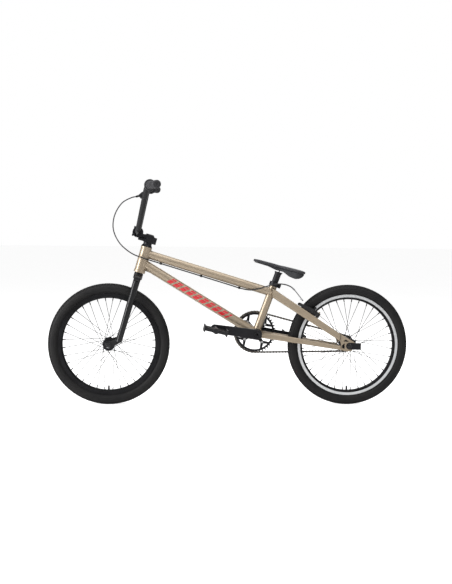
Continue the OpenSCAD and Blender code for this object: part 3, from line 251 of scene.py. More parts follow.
def make_wear_group():
    """A mask that is 1 on outside edges, broken up by noise."""
    tree, given, out = new_group(
        "edge_wear", [("Vector", None), ("Radius", 0.0008), ("Amount", 0.5)], ["Worn"]
    )
    bevel = tree.nodes.new("ShaderNodeBevel")
    bevel.samples = 4
    link(tree, given["Radius"], bevel.inputs["Radius"])
    flat = tree.nodes.new("ShaderNodeNewGeometry")
    dot = tree.nodes.new("ShaderNodeVectorMath")
    dot.operation = "DOT_PRODUCT"
    link(tree, bevel.outputs["Normal"], dot.inputs[0])
    link(tree, flat.outputs["Normal"], dot.inputs[1])
    edge = math_node(tree, "SUBTRACT", 1.0, dot.outputs["Value"])
    edge = range_node(tree, edge, 0.02, 0.16)
    broken = range_node(tree, noise_node(tree, given["Vector"], 160.0, 4.0, 0.7), 0.42, 0.62)
    worn = math_node(tree, "MULTIPLY", edge, broken)
    link(tree, math_node(tree, "MULTIPLY", worn, given["Amount"], True), out["Worn"])
    return tree


def make_radius_group():
    """Distance from the wheel's axle, in millimetres, and fine turned rings."""
    tree, given, out = new_group("turned_rings", [("Vector", None), ("Pitch", 0.35)], ["Radius", "Rings"])
    split = tree.nodes.new("ShaderNodeSeparateXYZ")
    link(tree, given["Vector"], split.inputs[0])
    squares = [math_node(tree, "MULTIPLY", split.outputs[k], split.outputs[k]) for k in (0, 2)]
    radius = math_node(tree, "SQRT", math_node(tree, "ADD", *squares))
    radius = math_node(tree, "MULTIPLY", radius, 1000.0)
    link(tree, radius, out["Radius"])
    turns = math_node(tree, "MULTIPLY", radius, math_node(tree, "DIVIDE", math.tau, given["Pitch"]))
    link(tree, math_node(tree, "SINE", turns), out["Rings"])
    return tree


def make_stripes_group():
    """Slanted bars along X inside a band, cut by one thin slit. Vector and sizes are in millimetres."""
    tree, given, out = new_group(
        "slanted_bars",
        [("Vector", None), ("Length", 286.0), ("Height", 13.0), ("Pitch", 31.0), ("Filled", 0.7),
         ("Slant", 0.5)],
        ["Mask"],
    )
    slit_height, slit_half = 3.0, 0.9
    split = tree.nodes.new("ShaderNodeSeparateXYZ")
    link(tree, given["Vector"], split.inputs[0])
    along, up = split.outputs[0], split.outputs[2]
    leaning = math_node(tree, "SUBTRACT", along, math_node(tree, "MULTIPLY", up, given["Slant"]))
    cycles = math_node(tree, "FRACT", math_node(tree, "DIVIDE", leaning, given["Pitch"]))
    bars = math_node(tree, "LESS_THAN", cycles, given["Filled"])
    slit = math_node(tree, "ABSOLUTE", math_node(tree, "SUBTRACT", up, slit_height))
    bars = math_node(tree, "MULTIPLY", bars, math_node(tree, "GREATER_THAN", slit, slit_half))
    half_length = math_node(tree, "MULTIPLY", given["Length"], 0.5)
    inside = math_node(tree, "LESS_THAN", math_node(tree, "ABSOLUTE", leaning), half_length)
    band = math_node(tree, "LESS_THAN", math_node(tree, "ABSOLUTE", up), given["Height"])
    mask = math_node(tree, "MULTIPLY", bars, math_node(tree, "MULTIPLY", inside, band))
    link(tree, mask, out["Mask"])
    return tree


GROUPS = {
    "variation": make_variation_group(),
    "wear": make_wear_group(),
    "rings": make_radius_group(),
    "bars": make_stripes_group(),
}


def use_group(tree, name, vector, **values):
    node = tree.nodes.new("ShaderNodeGroup")
    node.node_tree = GROUPS[name]
    link(tree, vector, node.inputs["Vector"])
    for title, value in values.items():
        node.inputs[title.replace("_", " ")].default_value = value
    return node.outputs


def new_material(name):
    """An empty material: its tree, its Principled shader and its Object coordinates."""
    material = bpy.data.materials.new(name)
    material.use_nodes = True
    tree = material.node_tree
    shader = tree.nodes["Principled BSDF"]
    place = tree.nodes.new("ShaderNodeTexCoord").outputs["Object"]
    return material, tree, shader, place


def bump(tree, shader, height, strength, distance=0.0004):
    """Feeds the shader's normal from a height; distance is in metres."""
    node = tree.nodes.new("ShaderNodeBump")
    node.inputs["Strength"].default_value = strength
    node.inputs["Distance"].default_value = distance
    link(tree, height, node.inputs["Height"])
    link(tree, node.outputs["Normal"], shader.inputs["Normal"])


def mapped(tree, place, centre=(0, 0, 0), turn=(0, 0, 0), scale=1.0):
    """Coordinates about a centre, turned and scaled: X, Y and Z of a piece's own frame."""
    node = tree.nodes.new("ShaderNodeMapping")
    node.vector_type = "TEXTURE"
    link(tree, place, node.inputs["Vector"])
    node.inputs["Location"].default_value = centre
    node.inputs["Rotation"].default_value = turn
    node.inputs["Scale"].default_value = (1 / scale,) * 3
    return node.outputs["Vector"]


def plain_finish(name, dark, light, rough, metallic=0.0, grain=900.0, bumpy=0.15, wear=None,
                 wear_radius=0.0008, wear_amount=0.5, patch=9.0, coat=0.0, sheen=0.0, specular=0.35):
    """Two close colours in broad patches, roughness from smudges, a fine grain, and worn edges."""
    material, tree, shader, place = new_material(name)
    varied = use_group(tree, "variation", place, Patch_Scale=patch, Grain_Scale=grain)
    colour = colour_mix(tree, varied["Patches"], dark, light)
    smudged = range_node(tree, varied["Smudges"], 0, 1, rough - 0.05, rough + 0.09)
    shader.inputs["Metallic"].default_value = metallic
    if wear is not None:
        worn = use_group(tree, "wear", place, Radius=wear_radius, Amount=wear_amount)["Worn"]
        colour = colour_mix(tree, worn, colour, wear)
        smudged = math_node(tree, "SUBTRACT", smudged, math_node(tree, "MULTIPLY", worn, 0.12), True)
    link(tree, colour, shader.inputs["Base Color"])
    link(tree, smudged, shader.inputs["Roughness"])
    bump(tree, shader, varied["Grain"], bumpy)
    shader.inputs["Coat Weight"].default_value = coat
    shader.inputs["Coat Roughness"].default_value = 0.25
    shader.inputs["Sheen Weight"].default_value = sheen
    shader.inputs["Specular IOR Level"].default_value = specular
    return material


def floor_paint():
    """Off-white, with a glow that only the camera sees, so that it meets the backdrop without a line."""
    material, tree, shader, place = new_material("floor_paint")
    varied = use_group(tree, "variation", place, Patch_Scale=1.5, Grain_Scale=220.0)
    white = colour_mix(tree, varied["Patches"], (0.90, 0.90, 0.90), (0.93, 0.93, 0.93))
    link(tree, white, shader.inputs["Base Color"])
    shader.inputs["Roughness"].default_value = 0.75
    shader.inputs["Emission Color"].default_value = (1, 1, 1, 1)
    rays = tree.nodes.new("ShaderNodeLightPath")
    glow = math_node(tree, "MULTIPLY", rays.outputs["Is Camera Ray"], FLOOR_GLOW)
    link(tree, glow, shader.inputs["Emission Strength"])
    bump(tree, shader, varied["Grain"], 0.02)
    return material


PAINT_DARK = (0.345, 0.275, 0.195)
PAINT_LIGHT = (0.405, 0.328, 0.238)
PAINT_METALLIC = 0.55
RED = (0.62, 0.012, 0.022)


def frame_paint(name, graphic=None):
    """Satin champagne paint with fine metal flakes; graphic is (centre, turn, values) of a red pattern."""
    material, tree, shader, place = new_material(name)
    varied = use_group(tree, "variation", place, Patch_Scale=4.0, Grain_Scale=1500.0)
    colour = colour_mix(tree, varied["Patches"], PAINT_DARK, PAINT_LIGHT)
    flakes = tree.nodes.new("ShaderNodeTexVoronoi")
    flakes.inputs["Scale"].default_value = 2600.0
    link(tree, place, flakes.inputs["Vector"])
    sparkle = range_node(tree, flakes.outputs["Distance"], 0.0, 0.45, 0.22, 0.0)
    colour = colour_mix(tree, sparkle, colour, (0.72, 0.62, 0.48))
    worn = use_group(tree, "wear", place, Radius=0.0007, Amount=0.35)["Worn"]
    colour = colour_mix(tree, worn, colour, (0.55, 0.50, 0.42))
    if graphic is not None:
        centre, turn, values = graphic
        mask = use_group(tree, "bars", mapped(tree, place, centre, turn, 1000.0), **values)["Mask"]
        colour = colour_mix(tree, mask, colour, RED)
        bare = math_node(tree, "SUBTRACT", 1.0, mask)
        link(tree, math_node(tree, "MULTIPLY", bare, PAINT_METALLIC), shader.inputs["Metallic"])
    else:
        shader.inputs["Metallic"].default_value = PAINT_METALLIC
    link(tree, colour, shader.inputs["Base Color"])
    link(tree, range_node(tree, varied["Smudges"], 0, 1, 0.32, 0.42), shader.inputs["Roughness"])
    bump(tree, shader, varied["Grain"], 0.06)
    shader.inputs["Coat Weight"].default_value = 0.35
    shader.inputs["Coat Roughness"].default_value = 0.18
    return material


def tyre_rubber():
    """Dull black rubber with broad dusty smudges and a fine grain."""
    material, tree, shader, place = new_material("tyre_rubber")
    varied = use_group(tree, "variation", place, Patch_Scale=14.0, Grain_Scale=1400.0)
    colour = colour_mix(tree, varied["Patches"], (0.008, 0.008, 0.009), (0.014, 0.0135, 0.0135))
    dust = math_node(tree, "MULTIPLY", varied["Smudges"], 0.25)
    colour = colour_mix(tree, dust, colour, (0.035, 0.034, 0.032))
    link(tree, colour, shader.inputs["Base Color"])
    link(tree, range_node(tree, varied["Smudges"], 0, 1, 0.55, 0.75), shader.inputs["Roughness"])
    bump(tree, shader, varied["Grain"], 0.35, 0.0005)
    shader.inputs["Specular IOR Level"].default_value = 0.2
    return material


def rim_finish(name, axle, track_from, track):
    """Black anodised rim whose walls beyond a radius are the bare turned track."""
    material, tree, shader, place = new_material(name)
    rings = use_group(tree, "rings", mapped(tree, place, axle), Pitch=0.45)
    varied = use_group(tree, "variation", place, Patch_Scale=12.0, Grain_Scale=1200.0)
    bare = range_node(tree, rings["Radius"], track_from - 0.15, track_from + 0.15)
    black = colour_mix(tree, varied["Patches"], (0.012, 0.012, 0.013), (0.022, 0.022, 0.024))
    silver = colour_mix(tree, varied["Smudges"], tuple(0.88 * c for c in track), track)
    link(tree, colour_mix(tree, bare, black, silver), shader.inputs["Base Color"])
    shader.inputs["Metallic"].default_value = 0.85
    link(tree, range_node(tree, varied["Smudges"], 0, 1, 0.33, 0.45), shader.inputs["Roughness"])
    turned = math_node(tree, "MULTIPLY", rings["Rings"], bare)
    bump(tree, shader, turned, 0.18, 0.0001)
    return material


def saddle_leather():
    """Matt synthetic leather: small cells, soft creases darkened with painted shade, and a faint sheen."""
    material, tree, shader, place = new_material("saddle_leather")
    varied = use_group(tree, "variation", place, Patch_Scale=22.0, Grain_Scale=2400.0)
    cells = tree.nodes.new("ShaderNodeTexVoronoi")
    cells.feature = "DISTANCE_TO_EDGE"
    cells.inputs["Scale"].default_value = 620.0
    link(tree, place, cells.inputs["Vector"])
    # mask of the crease lines: it sinks them as bump relief and darkens them with painted shade
    crease_relief_and_shade = range_node(tree, cells.outputs["Distance"], 0.0, 0.18)
    colour = colour_mix(tree, varied["Patches"], (0.022, 0.023, 0.027), (0.031, 0.032, 0.038))
    # painted shade: the colour goes nearly black along the crease lines
    colour = colour_mix(tree, crease_relief_and_shade, (0.012, 0.012, 0.014), colour)
    link(tree, colour, shader.inputs["Base Color"])
    link(tree, range_node(tree, varied["Smudges"], 0, 1, 0.5, 0.66), shader.inputs["Roughness"])
    height = math_node(tree, "ADD", crease_relief_and_shade, math_node(tree, "MULTIPLY", varied["Grain"], 0.4))
    bump(tree, shader, height, 0.5, 0.0003)
    shader.inputs["Sheen Weight"].default_value = 0.15
    shader.inputs["Sheen Roughness"].default_value = 0.5
    return material


def chain_metal():
    """Dark oiled steel, brighter where links rub."""
    material, tree, shader, place = new_material("chain_metal")
    varied = use_group(tree, "variation", place, Patch_Scale=80.0, Grain_Scale=1800.0)
    colour = colour_mix(tree, varied["Patches"], (0.05, 0.045, 0.04), (0.16, 0.145, 0.125))
    worn = use_group(tree, "wear", place, Radius=0.0004, Amount=0.8)["Worn"]
    link(tree, colour_mix(tree, worn, colour, (0.5, 0.47, 0.42)), shader.inputs["Base Color"])
    shader.inputs["Metallic"].default_value = 0.9
    link(tree, range_node(tree, varied["Smudges"], 0, 1, 0.28, 0.52), shader.inputs["Roughness"])
    bump(tree, shader, varied["Grain"], 0.2)
    return material


# ---------- making pieces ----------

def make_piece(name, mesh_data, body, finish, stands_for=(), sharp=35):
    """An object from a bmesh or a mesh: its finish, its body and the nodes it stands for."""
    if isinstance(mesh_data, bmesh.types.BMesh):
        mesh = bpy.data.meshes.new(name)
        mesh_data.to_mesh(mesh)
        mesh_data.free()
    else:
        mesh = mesh_data
    mesh.materials.clear()
    mesh.materials.append(finish)
    mesh.shade_smooth()
    mesh.set_sharp_from_angle(angle=math.radians(sharp))
    piece = bpy.data.objects.new(name, mesh)
    bpy.context.scene.collection.objects.link(piece)
    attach(piece, body)
    if stands_for:
        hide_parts(*stands_for)
    return piece


def along(start, end):
    """Places a shape drawn up the Z axis so that it runs from start towards end."""
    turn = (end - start).to_track_quat("Z", "Y").to_matrix().to_4x4()
    return Matrix.Translation(start) @ turn


def turned(profile, steps=48, place=None):
    """A closed turned shape from (radius, height) pairs in millimetres, about Z or along a placement."""
    bm = bmesh.new()
    line = [bm.verts.new((r * MM, 0, z * MM)) for r, z in profile]
    edges = [bm.edges.new(pair) for pair in zip(line, line[1:])]
    bmesh.ops.spin(bm, geom=line + edges, cent=(0, 0, 0), axis=(0, 0, 1),
                   angle=math.tau, steps=steps, use_merge=True)
    bmesh.ops.remove_doubles(bm, verts=bm.verts, dist=1e-6)
    bmesh.ops.recalc_face_normals(bm, faces=bm.faces)
    if place is not None:
        bmesh.ops.transform(bm, matrix=place, verts=bm.verts)
    return bm


def joined(*parts):
    """One bmesh from several."""
    whole = bmesh.new()
    for bm in parts:
        mesh = bpy.data.meshes.new("part")
        bm.to_mesh(mesh)
        bm.free()
        whole.from_mesh(mesh)
        bpy.data.meshes.remove(mesh)
    return whole


def merged_copy(node):
    """A copy of a CAD node's mesh with its loose triangles joined and its flat faces made whole."""
    bm = bmesh.new()
    bm.from_mesh(NODES[node].data)
    bmesh.ops.remove_doubles(bm, verts=bm.verts, dist=2e-6)
    bmesh.ops.dissolve_limit(bm, angle_limit=math.radians(0.6), verts=bm.verts, edges=bm.edges)
    return bm


def rounded(node, width, finish, segments=2, angle=32):
    """The CAD node with its outside corners rounded, as machined, cast or drawn metal has them."""
    piece = make_piece(f"{node}_finished", merged_copy(node), BODY_OF[node], finish, [node])
    bevel = piece.modifiers.new("corners", "BEVEL")
    bevel.width = width * MM
    bevel.segments = segments
    bevel.limit_method = "ANGLE"
    bevel.angle_limit = math.radians(angle)
    bevel.use_clamp_overlap = False
    bevel.harden_normals = True
    return piece


def tube_through(name, points, radius, finish, closed=False, radii=None):
    """A round tube along a line of points, as a curve with one spline; radii scale its points in turn."""
    curve = bpy.data.curves.new(name, "CURVE")
    curve.dimensions = "3D"
    curve.bevel_depth = radius
    curve.bevel_resolution = 4
    curve.use_fill_caps = not closed
    spline = curve.splines.new("POLY")
    spline.points.add(len(points) - 1)
    spline.use_cyclic_u = closed
    for k, (point, place) in enumerate(zip(spline.points, points)):
        point.co = (*place, 1)
        point.radius = radii[k % len(radii)] if radii else 1.0
    curve.materials.append(finish)
    tube = bpy.data.objects.new(name, curve)
    bpy.context.scene.collection.objects.link(tube)
    return tube


def as_mesh(tube, body, stands_for=()):
    """Turns a tube into a mesh piece that rides on a body."""
    mesh = bpy.data.meshes.new_from_object(tube.evaluated_get(bpy.context.evaluated_depsgraph_get()))
    name, finish = tube.name, tube.data.materials[0]
    bpy.data.objects.remove(tube)
    return make_piece(name, mesh, body, finish, stands_for, sharp=60)


# ---------- tyres ----------

TYRE_CENTRE = 227.0
CASING_R = 20.3
CASING_INSIDE_R = 17.8
RING_HEIGHT = 0.45
WALL_RINGS = ((66, 70), (92, 94), (110, 114))
BEAD = [(206.0, 11.8), (203.8, 10.6), (203.8, 8.6), (206.5, 8.2)]
TREAD_COUNT = 104
BLOCK_HEIGHT = 1.9
# rows of blocks: degrees round the casing, length, width, and shift along the tyre in pitches
TREAD_ROWS = [(0, 8.0, 5.0, 0.0), (14, 6.5, 4.6, 0.5), (-14, 6.5, 4.6, 0.5), (28, 8.0, 4.4, 0.0),
              (-28, 8.0, 4.4, 0.0), (43, 6.0, 5.0, 0.5), (-43, 6.0, 5.0, 0.5)]


def tyre_profile():
    """Section of a tyre as (radius, width) pairs: a round casing with rings on its walls, and two beads."""
    outer = []
    for step in range(-70, 71):
        a = step * 2
        ring = RING_HEIGHT if any(low <= abs(a) <= high for low, high in WALL_RINGS) else 0.0
        r = CASING_R + ring
        outer.append((TYRE_CENTRE + r * math.cos(math.radians(a)), r * math.sin(math.radians(a))))
    inner = []
    for step in range(13, -14, -1):
        a = math.radians(step * 10)
        inner.append((TYRE_CENTRE + CASING_INSIDE_R * math.cos(a), CASING_INSIDE_R * math.sin(a)))
    opposite = [(r, -y) for r, y in reversed(BEAD)]
    return outer + BEAD + inner + opposite + outer[:1]


def tread_block(length, width, height, lean, shift):
    """One moulded block at the top of the wheel, lean degrees round the casing, shift along it."""
    bm = bmesh.new()
    bmesh.ops.create_cube(bm, size=1.0)
    bmesh.ops.scale(bm, vec=(height * MM, width * MM, length * MM), verts=bm.verts)
    top = [v for v in bm.verts if v.co.x > 0]
    bmesh.ops.scale(bm, vec=(1, 0.82, 0.86), verts=top)
    bmesh.ops.translate(bm, vec=((CASING_R + height / 2 - 0.3) * MM, 0, 0), verts=bm.verts)
    bmesh.ops.rotate(bm, cent=(0, 0, 0), matrix=Matrix.Rotation(math.radians(lean), 3, "Z"), verts=bm.verts)
    bmesh.ops.translate(bm, vec=(TYRE_CENTRE * MM, 0, 0), verts=bm.verts)
    bmesh.ops.rotate(bm, cent=(0, 0, 0), matrix=Matrix.Rotation(math.radians(shift), 3, "Y"), verts=bm.verts)
    return bm


def add_tyre(name, axle, body, finish):
    casing = turned(tyre_profile(), steps=144, place=Matrix.Rotation(math.radians(-90), 4, "X"))
    pitch = 360 / TREAD_COUNT
    blocks = joined(*[
        tread_block(length, width, BLOCK_HEIGHT, lean, shift * pitch)
        for lean, length, width, shift in TREAD_ROWS
    ])
    bmesh.ops.spin(blocks, geom=blocks.verts[:] + blocks.edges[:] + blocks.faces[:], cent=(0, 0, 0),
                   axis=(0, 1, 0), angle=math.radians(360 - pitch), steps=TREAD_COUNT - 1, use_duplicate=True)
    tyre = joined(casing, blocks)
    bmesh.ops.translate(tyre, vec=axle, verts=tyre.verts)
    make_piece(f"{name}_moulded", tyre, body, finish, [name])


# ---------- grips ----------

KNEE = Vector((0.337938, 0.178, 0.891811))
GRIP_DIRECTION = Vector((-math.sin(math.radians(12.4)), math.cos(math.radians(12.4)), 0))
BAR_HALF = 0.352
KNEE_OUT = 0.178
BAR_END = KNEE + GRIP_DIRECTION * ((BAR_HALF - KNEE_OUT) / GRIP_DIRECTION.y)
GRIP_LENGTH = 130
GRIP_CAP = 0.003
RIB_PITCH = 4.4
RIB_COUNT = 26
RIBS_FROM = 8.5


def grip_profile():
    """A flanged grip with round ribs and a domed end, from its root at 0 to its tip."""
    flange = [(11.2, 0.0), (22.0, 0.0), (23.0, 0.9), (23.0, 3.6), (22.0, 4.6), (17.5, 5.2), (15.0, 7.5)]
    ribs = []
    for k in range(RIB_COUNT):
        z = RIBS_FROM + k * RIB_PITCH
        ribs += [(14.3, z), (15.6, z + 0.5), (16.0, z + 1.3), (15.6, z + 2.3), (14.3, z + 2.9)]
    end = [(14.6, 123.4), (16.0, 124.4), (16.0, 127.6), (14.6, 129.6), (12.0, 130.0), (5.0, 129.6),
           (4.2, 128.2), (0.0, 128.0)]
    return [(0.0, 118.0), (11.2, 118.0)] + flange + ribs + end


def add_grips(finish):
    tip = BAR_END + GRIP_CAP * GRIP_DIRECTION
    root = tip - GRIP_LENGTH * MM * GRIP_DIRECTION
    left = turned(grip_profile(), 40, along(root, tip))
    flip = Vector((1, -1, 1))
    right = turned(grip_profile(), 40, along(root * flip, tip * flip))
    make_piece("ribbed_grips", joined(left, right), "steering", finish, ["grips"])


# ---------- saddle ----------

SADDLE_ORIGIN = BOTTOM_BRACKET + 0.298 * SEAT_UP
SADDLE_TILT = math.radians(14)
PAD_VOXEL = 0.0024
SHELL_VOXEL = 0.0022
PAD_SWELL = 0.0012
PAD_FOOT = -0.0105
CLOTH_FRAMES = 12


def moulded_form(nodes, voxel, rounds):
    """The CAD nodes joined into one smooth skin: remeshed evenly, then relaxed."""
    bm = joined(*[merged_copy(node) for node in nodes])
    mesh = bpy.data.meshes.new("form")
    bmesh.ops.triangulate(bm, faces=bm.faces)
    bm.to_mesh(mesh)
    bm.free()
    form = bpy.data.objects.new("form", mesh)
    bpy.context.scene.collection.objects.link(form)
    remesh = form.modifiers.new("skin", "REMESH")
    remesh.mode = "VOXEL"
    remesh.voxel_size = voxel
    done = bpy.data.meshes.new_from_object(form.evaluated_get(bpy.context.evaluated_depsgraph_get()))
    bpy.data.objects.remove(form)
    bm = bmesh.new()
    bm.from_mesh(done)
    for _ in range(rounds):
        bmesh.ops.smooth_vert(bm, verts=bm.verts, factor=0.5,
                              use_axis_x=True, use_axis_y=True, use_axis_z=True)
    return bm


def swell(bm, amount, kept):
    """Puffs a form up with the Cloth solver, no point by more than amount; kept(point) marks pinned ones."""
    mesh = bpy.data.meshes.new("swelling")
    bm.to_mesh(mesh)
    start = [v.co.copy() for v in mesh.vertices]
    pad = bpy.data.objects.new("swelling", mesh)
    bpy.context.scene.collection.objects.link(pad)
    pins = pad.vertex_groups.new(name="pins")
    pins.add([k for k, place in enumerate(start) if kept(place)], 1.0, "REPLACE")
    cloth = pad.modifiers.new("cloth", "CLOTH")
    cloth.settings.use_pressure = True
    cloth.settings.uniform_pressure_force = 4
    cloth.settings.vertex_group_mass = "pins"
    cloth.settings.effector_weights.gravity = 0
    for step in range(1, CLOTH_FRAMES + 1):
        bpy.context.scene.frame_set(step)
    done = bpy.data.meshes.new_from_object(pad.evaluated_get(bpy.context.evaluated_depsgraph_get()))
    bpy.context.scene.frame_set(1)
    bpy.data.objects.remove(pad)
    bm.verts.ensure_lookup_table()
    for vert, before, after in zip(bm.verts, start, done.vertices):
        move = after.co - before
        if move.length > amount:
            move = move.normalized() * amount
        vert.co = before + move
    return bm


def add_saddle(cover_finish, shell_finish):
    """A thin pad over a moulded shell."""
    to_saddle = Matrix.Translation(SADDLE_ORIGIN) @ Matrix.Rotation(-SADDLE_TILT, 4, "Y")
    from_saddle = to_saddle.inverted()
    pad = moulded_form(["saddle_pad"], PAD_VOXEL, 5)
    pad = swell(pad, PAD_SWELL, lambda place: (from_saddle @ place).z < PAD_FOOT)
    bmesh.ops.recalc_face_normals(pad, faces=pad.faces)
    cover = make_piece("saddle_cover", pad, "seat", cover_finish, ["saddle_pad"], sharp=60)
    shell = moulded_form(["saddle_base"], SHELL_VOXEL, 4)
    bmesh.ops.recalc_face_normals(shell, faces=shell.faces)
    make_piece("saddle_shell", shell, "seat", shell_finish, ["saddle_base"], sharp=60)


# ---------- welds ----------

# radii at which the beads run round the tubes' ends, just outside the tubes, in metres
TOP_JOINT_R = 0.0178
DOWN_JOINT_R = 0.0194
SEAT_JOINT_R = 0.0162
WELD_RIPPLE = [1.0, 0.78]
THICK_BEAD = 1.7
THIN_BEAD = 1.6


def tube_meets(start, end, radius, post, post_direction, post_radius, count):
    """Points where a tube's surface first meets a round post, going from start to end."""
    run = (end - start).normalized()
    side = run.cross(Vector((0, 1, 0))).normalized()
    other = run.cross(side)
    points = []
    for k in range(count):
        a = math.tau * k / count
        base = start + radius * (math.cos(a) * side + math.sin(a) * other) - post
        flat = base - base.dot(post_direction) * post_direction
        rate = run - run.dot(post_direction) * post_direction
        square, cross, rest = rate.dot(rate), flat.dot(rate), flat.dot(flat) - post_radius**2
        depth = (-cross - math.sqrt(max(cross * cross - square * rest, 0))) / square
        points.append(post + base + depth * run)
    return points


def add_weld(name, points, radius, finish):
    """A bead of weld: a tube along the joint, thick and thin by turns like laid ripples."""
    bead = tube_through(name, points, radius * MM, finish, closed=True, radii=WELD_RIPPLE)
    as_mesh(bead, "frame")


def add_welds(finish):
    top_front, top_rear = TOP_TUBE
    down_front, down_rear = DOWN_TUBE
    across = Vector((0, 1, 0))
    top_middle = (top_front + top_rear) / 2
    down_middle = (down_front + down_rear) / 2
    head, seat = (STEER_FOOT, STEER_UP, HEAD_R), (BOTTOM_BRACKET, SEAT_UP, SEAT_R)
    shell = (BOTTOM_BRACKET, across, SHELL_R)
    seat_top = BOTTOM_BRACKET + 0.2 * SEAT_UP
    joints = [
        ("weld_top_head", top_middle, top_front, TOP_JOINT_R, head, 90, THICK_BEAD),
        ("weld_top_seat", top_middle, top_rear, TOP_JOINT_R, seat, 90, THIN_BEAD),
        ("weld_down_head", down_middle, down_front, DOWN_JOINT_R, head, 96, THICK_BEAD),
        ("weld_down_shell", down_middle, down_rear, DOWN_JOINT_R, shell, 96, THICK_BEAD),
        ("weld_seat_shell", seat_top, BOTTOM_BRACKET, SEAT_JOINT_R, shell, 84, THIN_BEAD),
    ]
    for name, start, end, radius, post, count, bead in joints:
        add_weld(name, tube_meets(start, end, radius, *post, count), bead, finish)


# ---------- brake cable ----------

LOOP_ROUTE = [(388, -196, 856), (408, -180, 851), (441, -146, 832), (464, -112, 801), (477, -78, 765),
              (479, -46, 727), (469, -16, 693), (449, 8, 661), (422, 24, 636), (394, 31, 618), (364, 30, 606),
              (338, 24, 597), (314, 11, 589.6), (291.5, 6, 582.7)]
FRAME_ROUTE = [(291, 6, 582.5), (232, 6, 564.7), (174, 6, 547.2), (117, 6, 530), (60, 6, 512.7),
               (2, 6, 495.2), (-50, 6, 479.5), (-88, 16, 474.5), (-120, 23.5, 481), (-150, 27, 490),
               (-180, 27.5, 498.5), (-207, 33, 501), (-230, 43, 498), (-249, 51, 490),
               (-263.5, 53, 477.5)]
NOODLE_ROUTE = [(-263.5, 53, 477.5), (-270, 53, 469.6), (-284, 53, 452), (-293, 52.5, 441), (-297.5, 50, 436),
                (-299, 44, 434), (-299, 36, 434), (-299, 26, 434)]
HOUSING_R = 0.0025
NOODLE_R = 0.0021
WIRE_R = 0.0008
WIRE_ENDS = (30, -46)


def smooth_line(route, steps=8):
    """A smooth curve through route points given in millimetres, the same one as the CAD cord's."""
    points = [Vector(p) * MM for p in route]
    line = []
    for i in range(len(points) - 1):
        a, b, c = points[max(i - 1, 0)], points[i], points[i + 1]
        d = points[min(i + 2, len(points) - 1)]
        for k in range(steps):
            t = k / steps
            line.append(0.5 * (2 * b + (c - a) * t + (2 * a - 5 * b + 4 * c - d) * t * t
                               + (3 * b - a - 3 * c + d) * t**3))
    return line + [points[-1]]


def ferrule(start, end, radius):
    """A crimped end cap on the housing, from start to end."""
    long = (end - start).length / MM
    profile = [(0, 0), (radius - 0.4, 0), (radius, 0.4), (radius, long * 0.55),
               (radius - 0.35, long * 0.6), (radius - 0.35, long * 0.72), (radius, long * 0.77),
               (radius, long - 0.4), (radius - 0.4, long), (0, long)]
    return turned(profile, 24, along(start, end))


def add_cables(housing, metal):
    """The loop from the lever, the housing along the frame, its noodle, the wire and two end caps."""
    line = smooth_line(LOOP_ROUTE)
    loop = tube_through("brake_cable_front", line, HOUSING_R, housing)
    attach(loop, "steering")
    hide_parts("brake_cable_loop")
    line = smooth_line(FRAME_ROUTE)
    rear = tube_through("brake_cable_rear", line, HOUSING_R, housing)
    as_mesh(rear, "frame", ["brake_cable"])
    noodle = tube_through("brake_noodle", smooth_line(NOODLE_ROUTE), NOODLE_R, metal)
    as_mesh(noodle, "frame")
    bare = [Vector((-0.299, y * MM, 0.434)) for y in WIRE_ENDS]
    wire = tube_through("brake_wire", bare, WIRE_R, metal)
    as_mesh(wire, "frame")
    ends = joined(ferrule(line[-6], line[-1], 3.2), ferrule(line[0], line[2], 3.1))
    make_piece("housing_ferrules", ends, "frame", metal)


# ---------- screws and bolts ----------

SOCKET_LIP = 0.72
SOCKET_DEPTH = 0.6


def socket_head(place, radius, height, across):
    """A screw head with a chamfered rim and a six-sided socket, standing up Z from its seat."""
    profile = [(0, 0), (radius, 0), (radius, height - 0.5), (radius - 0.5, height),
               (across * SOCKET_LIP, height)]
    bm = turned(profile, 30)
    hexagon = bmesh.ops.create_circle(bm, cap_ends=False, segments=6, radius=across / math.sqrt(3) * MM,
                                      matrix=Matrix.Translation((0, 0, height * MM)))
    mouth = [e for e in bm.edges if e.is_boundary and all(abs(v.co.z - height * MM) < 1e-7 for v in e.verts)
             and all(v.co.xy.length > across * 0.65 * MM for v in e.verts)]
    loop = list({e for v in hexagon["verts"] for e in v.link_edges})
    bmesh.ops.bridge_loops(bm, edges=mouth + loop)
    walls = bmesh.ops.extrude_edge_only(bm, edges=loop)
    low = [v for v in walls["geom"] if isinstance(v, bmesh.types.BMVert)]
    bmesh.ops.translate(bm, vec=(0, 0, -height * SOCKET_DEPTH * MM), verts=low)
    bmesh.ops.contextual_create(bm, geom=low)
    bmesh.ops.recalc_face_normals(bm, faces=bm.faces)
    bmesh.ops.transform(bm, matrix=place, verts=bm.verts)
    return bm


def shank(start, end, radius):
    """The plain part of a screw, between two points."""
    long = (end - start).length / MM
    return turned([(0, 0), (radius, 0), (radius, long), (0, long)], 24, along(start, end))


BOLT_CIRCLE = 0.052
RING_INNER_FACE = -0.0434
RING_OUTER_FACE = -0.0572
SPINDLE_END = 0.043
ARM_FACE = 0.0652
STEM_REACH = 0.051
BAR_UP = 0.473
PINCH_UP = 0.442


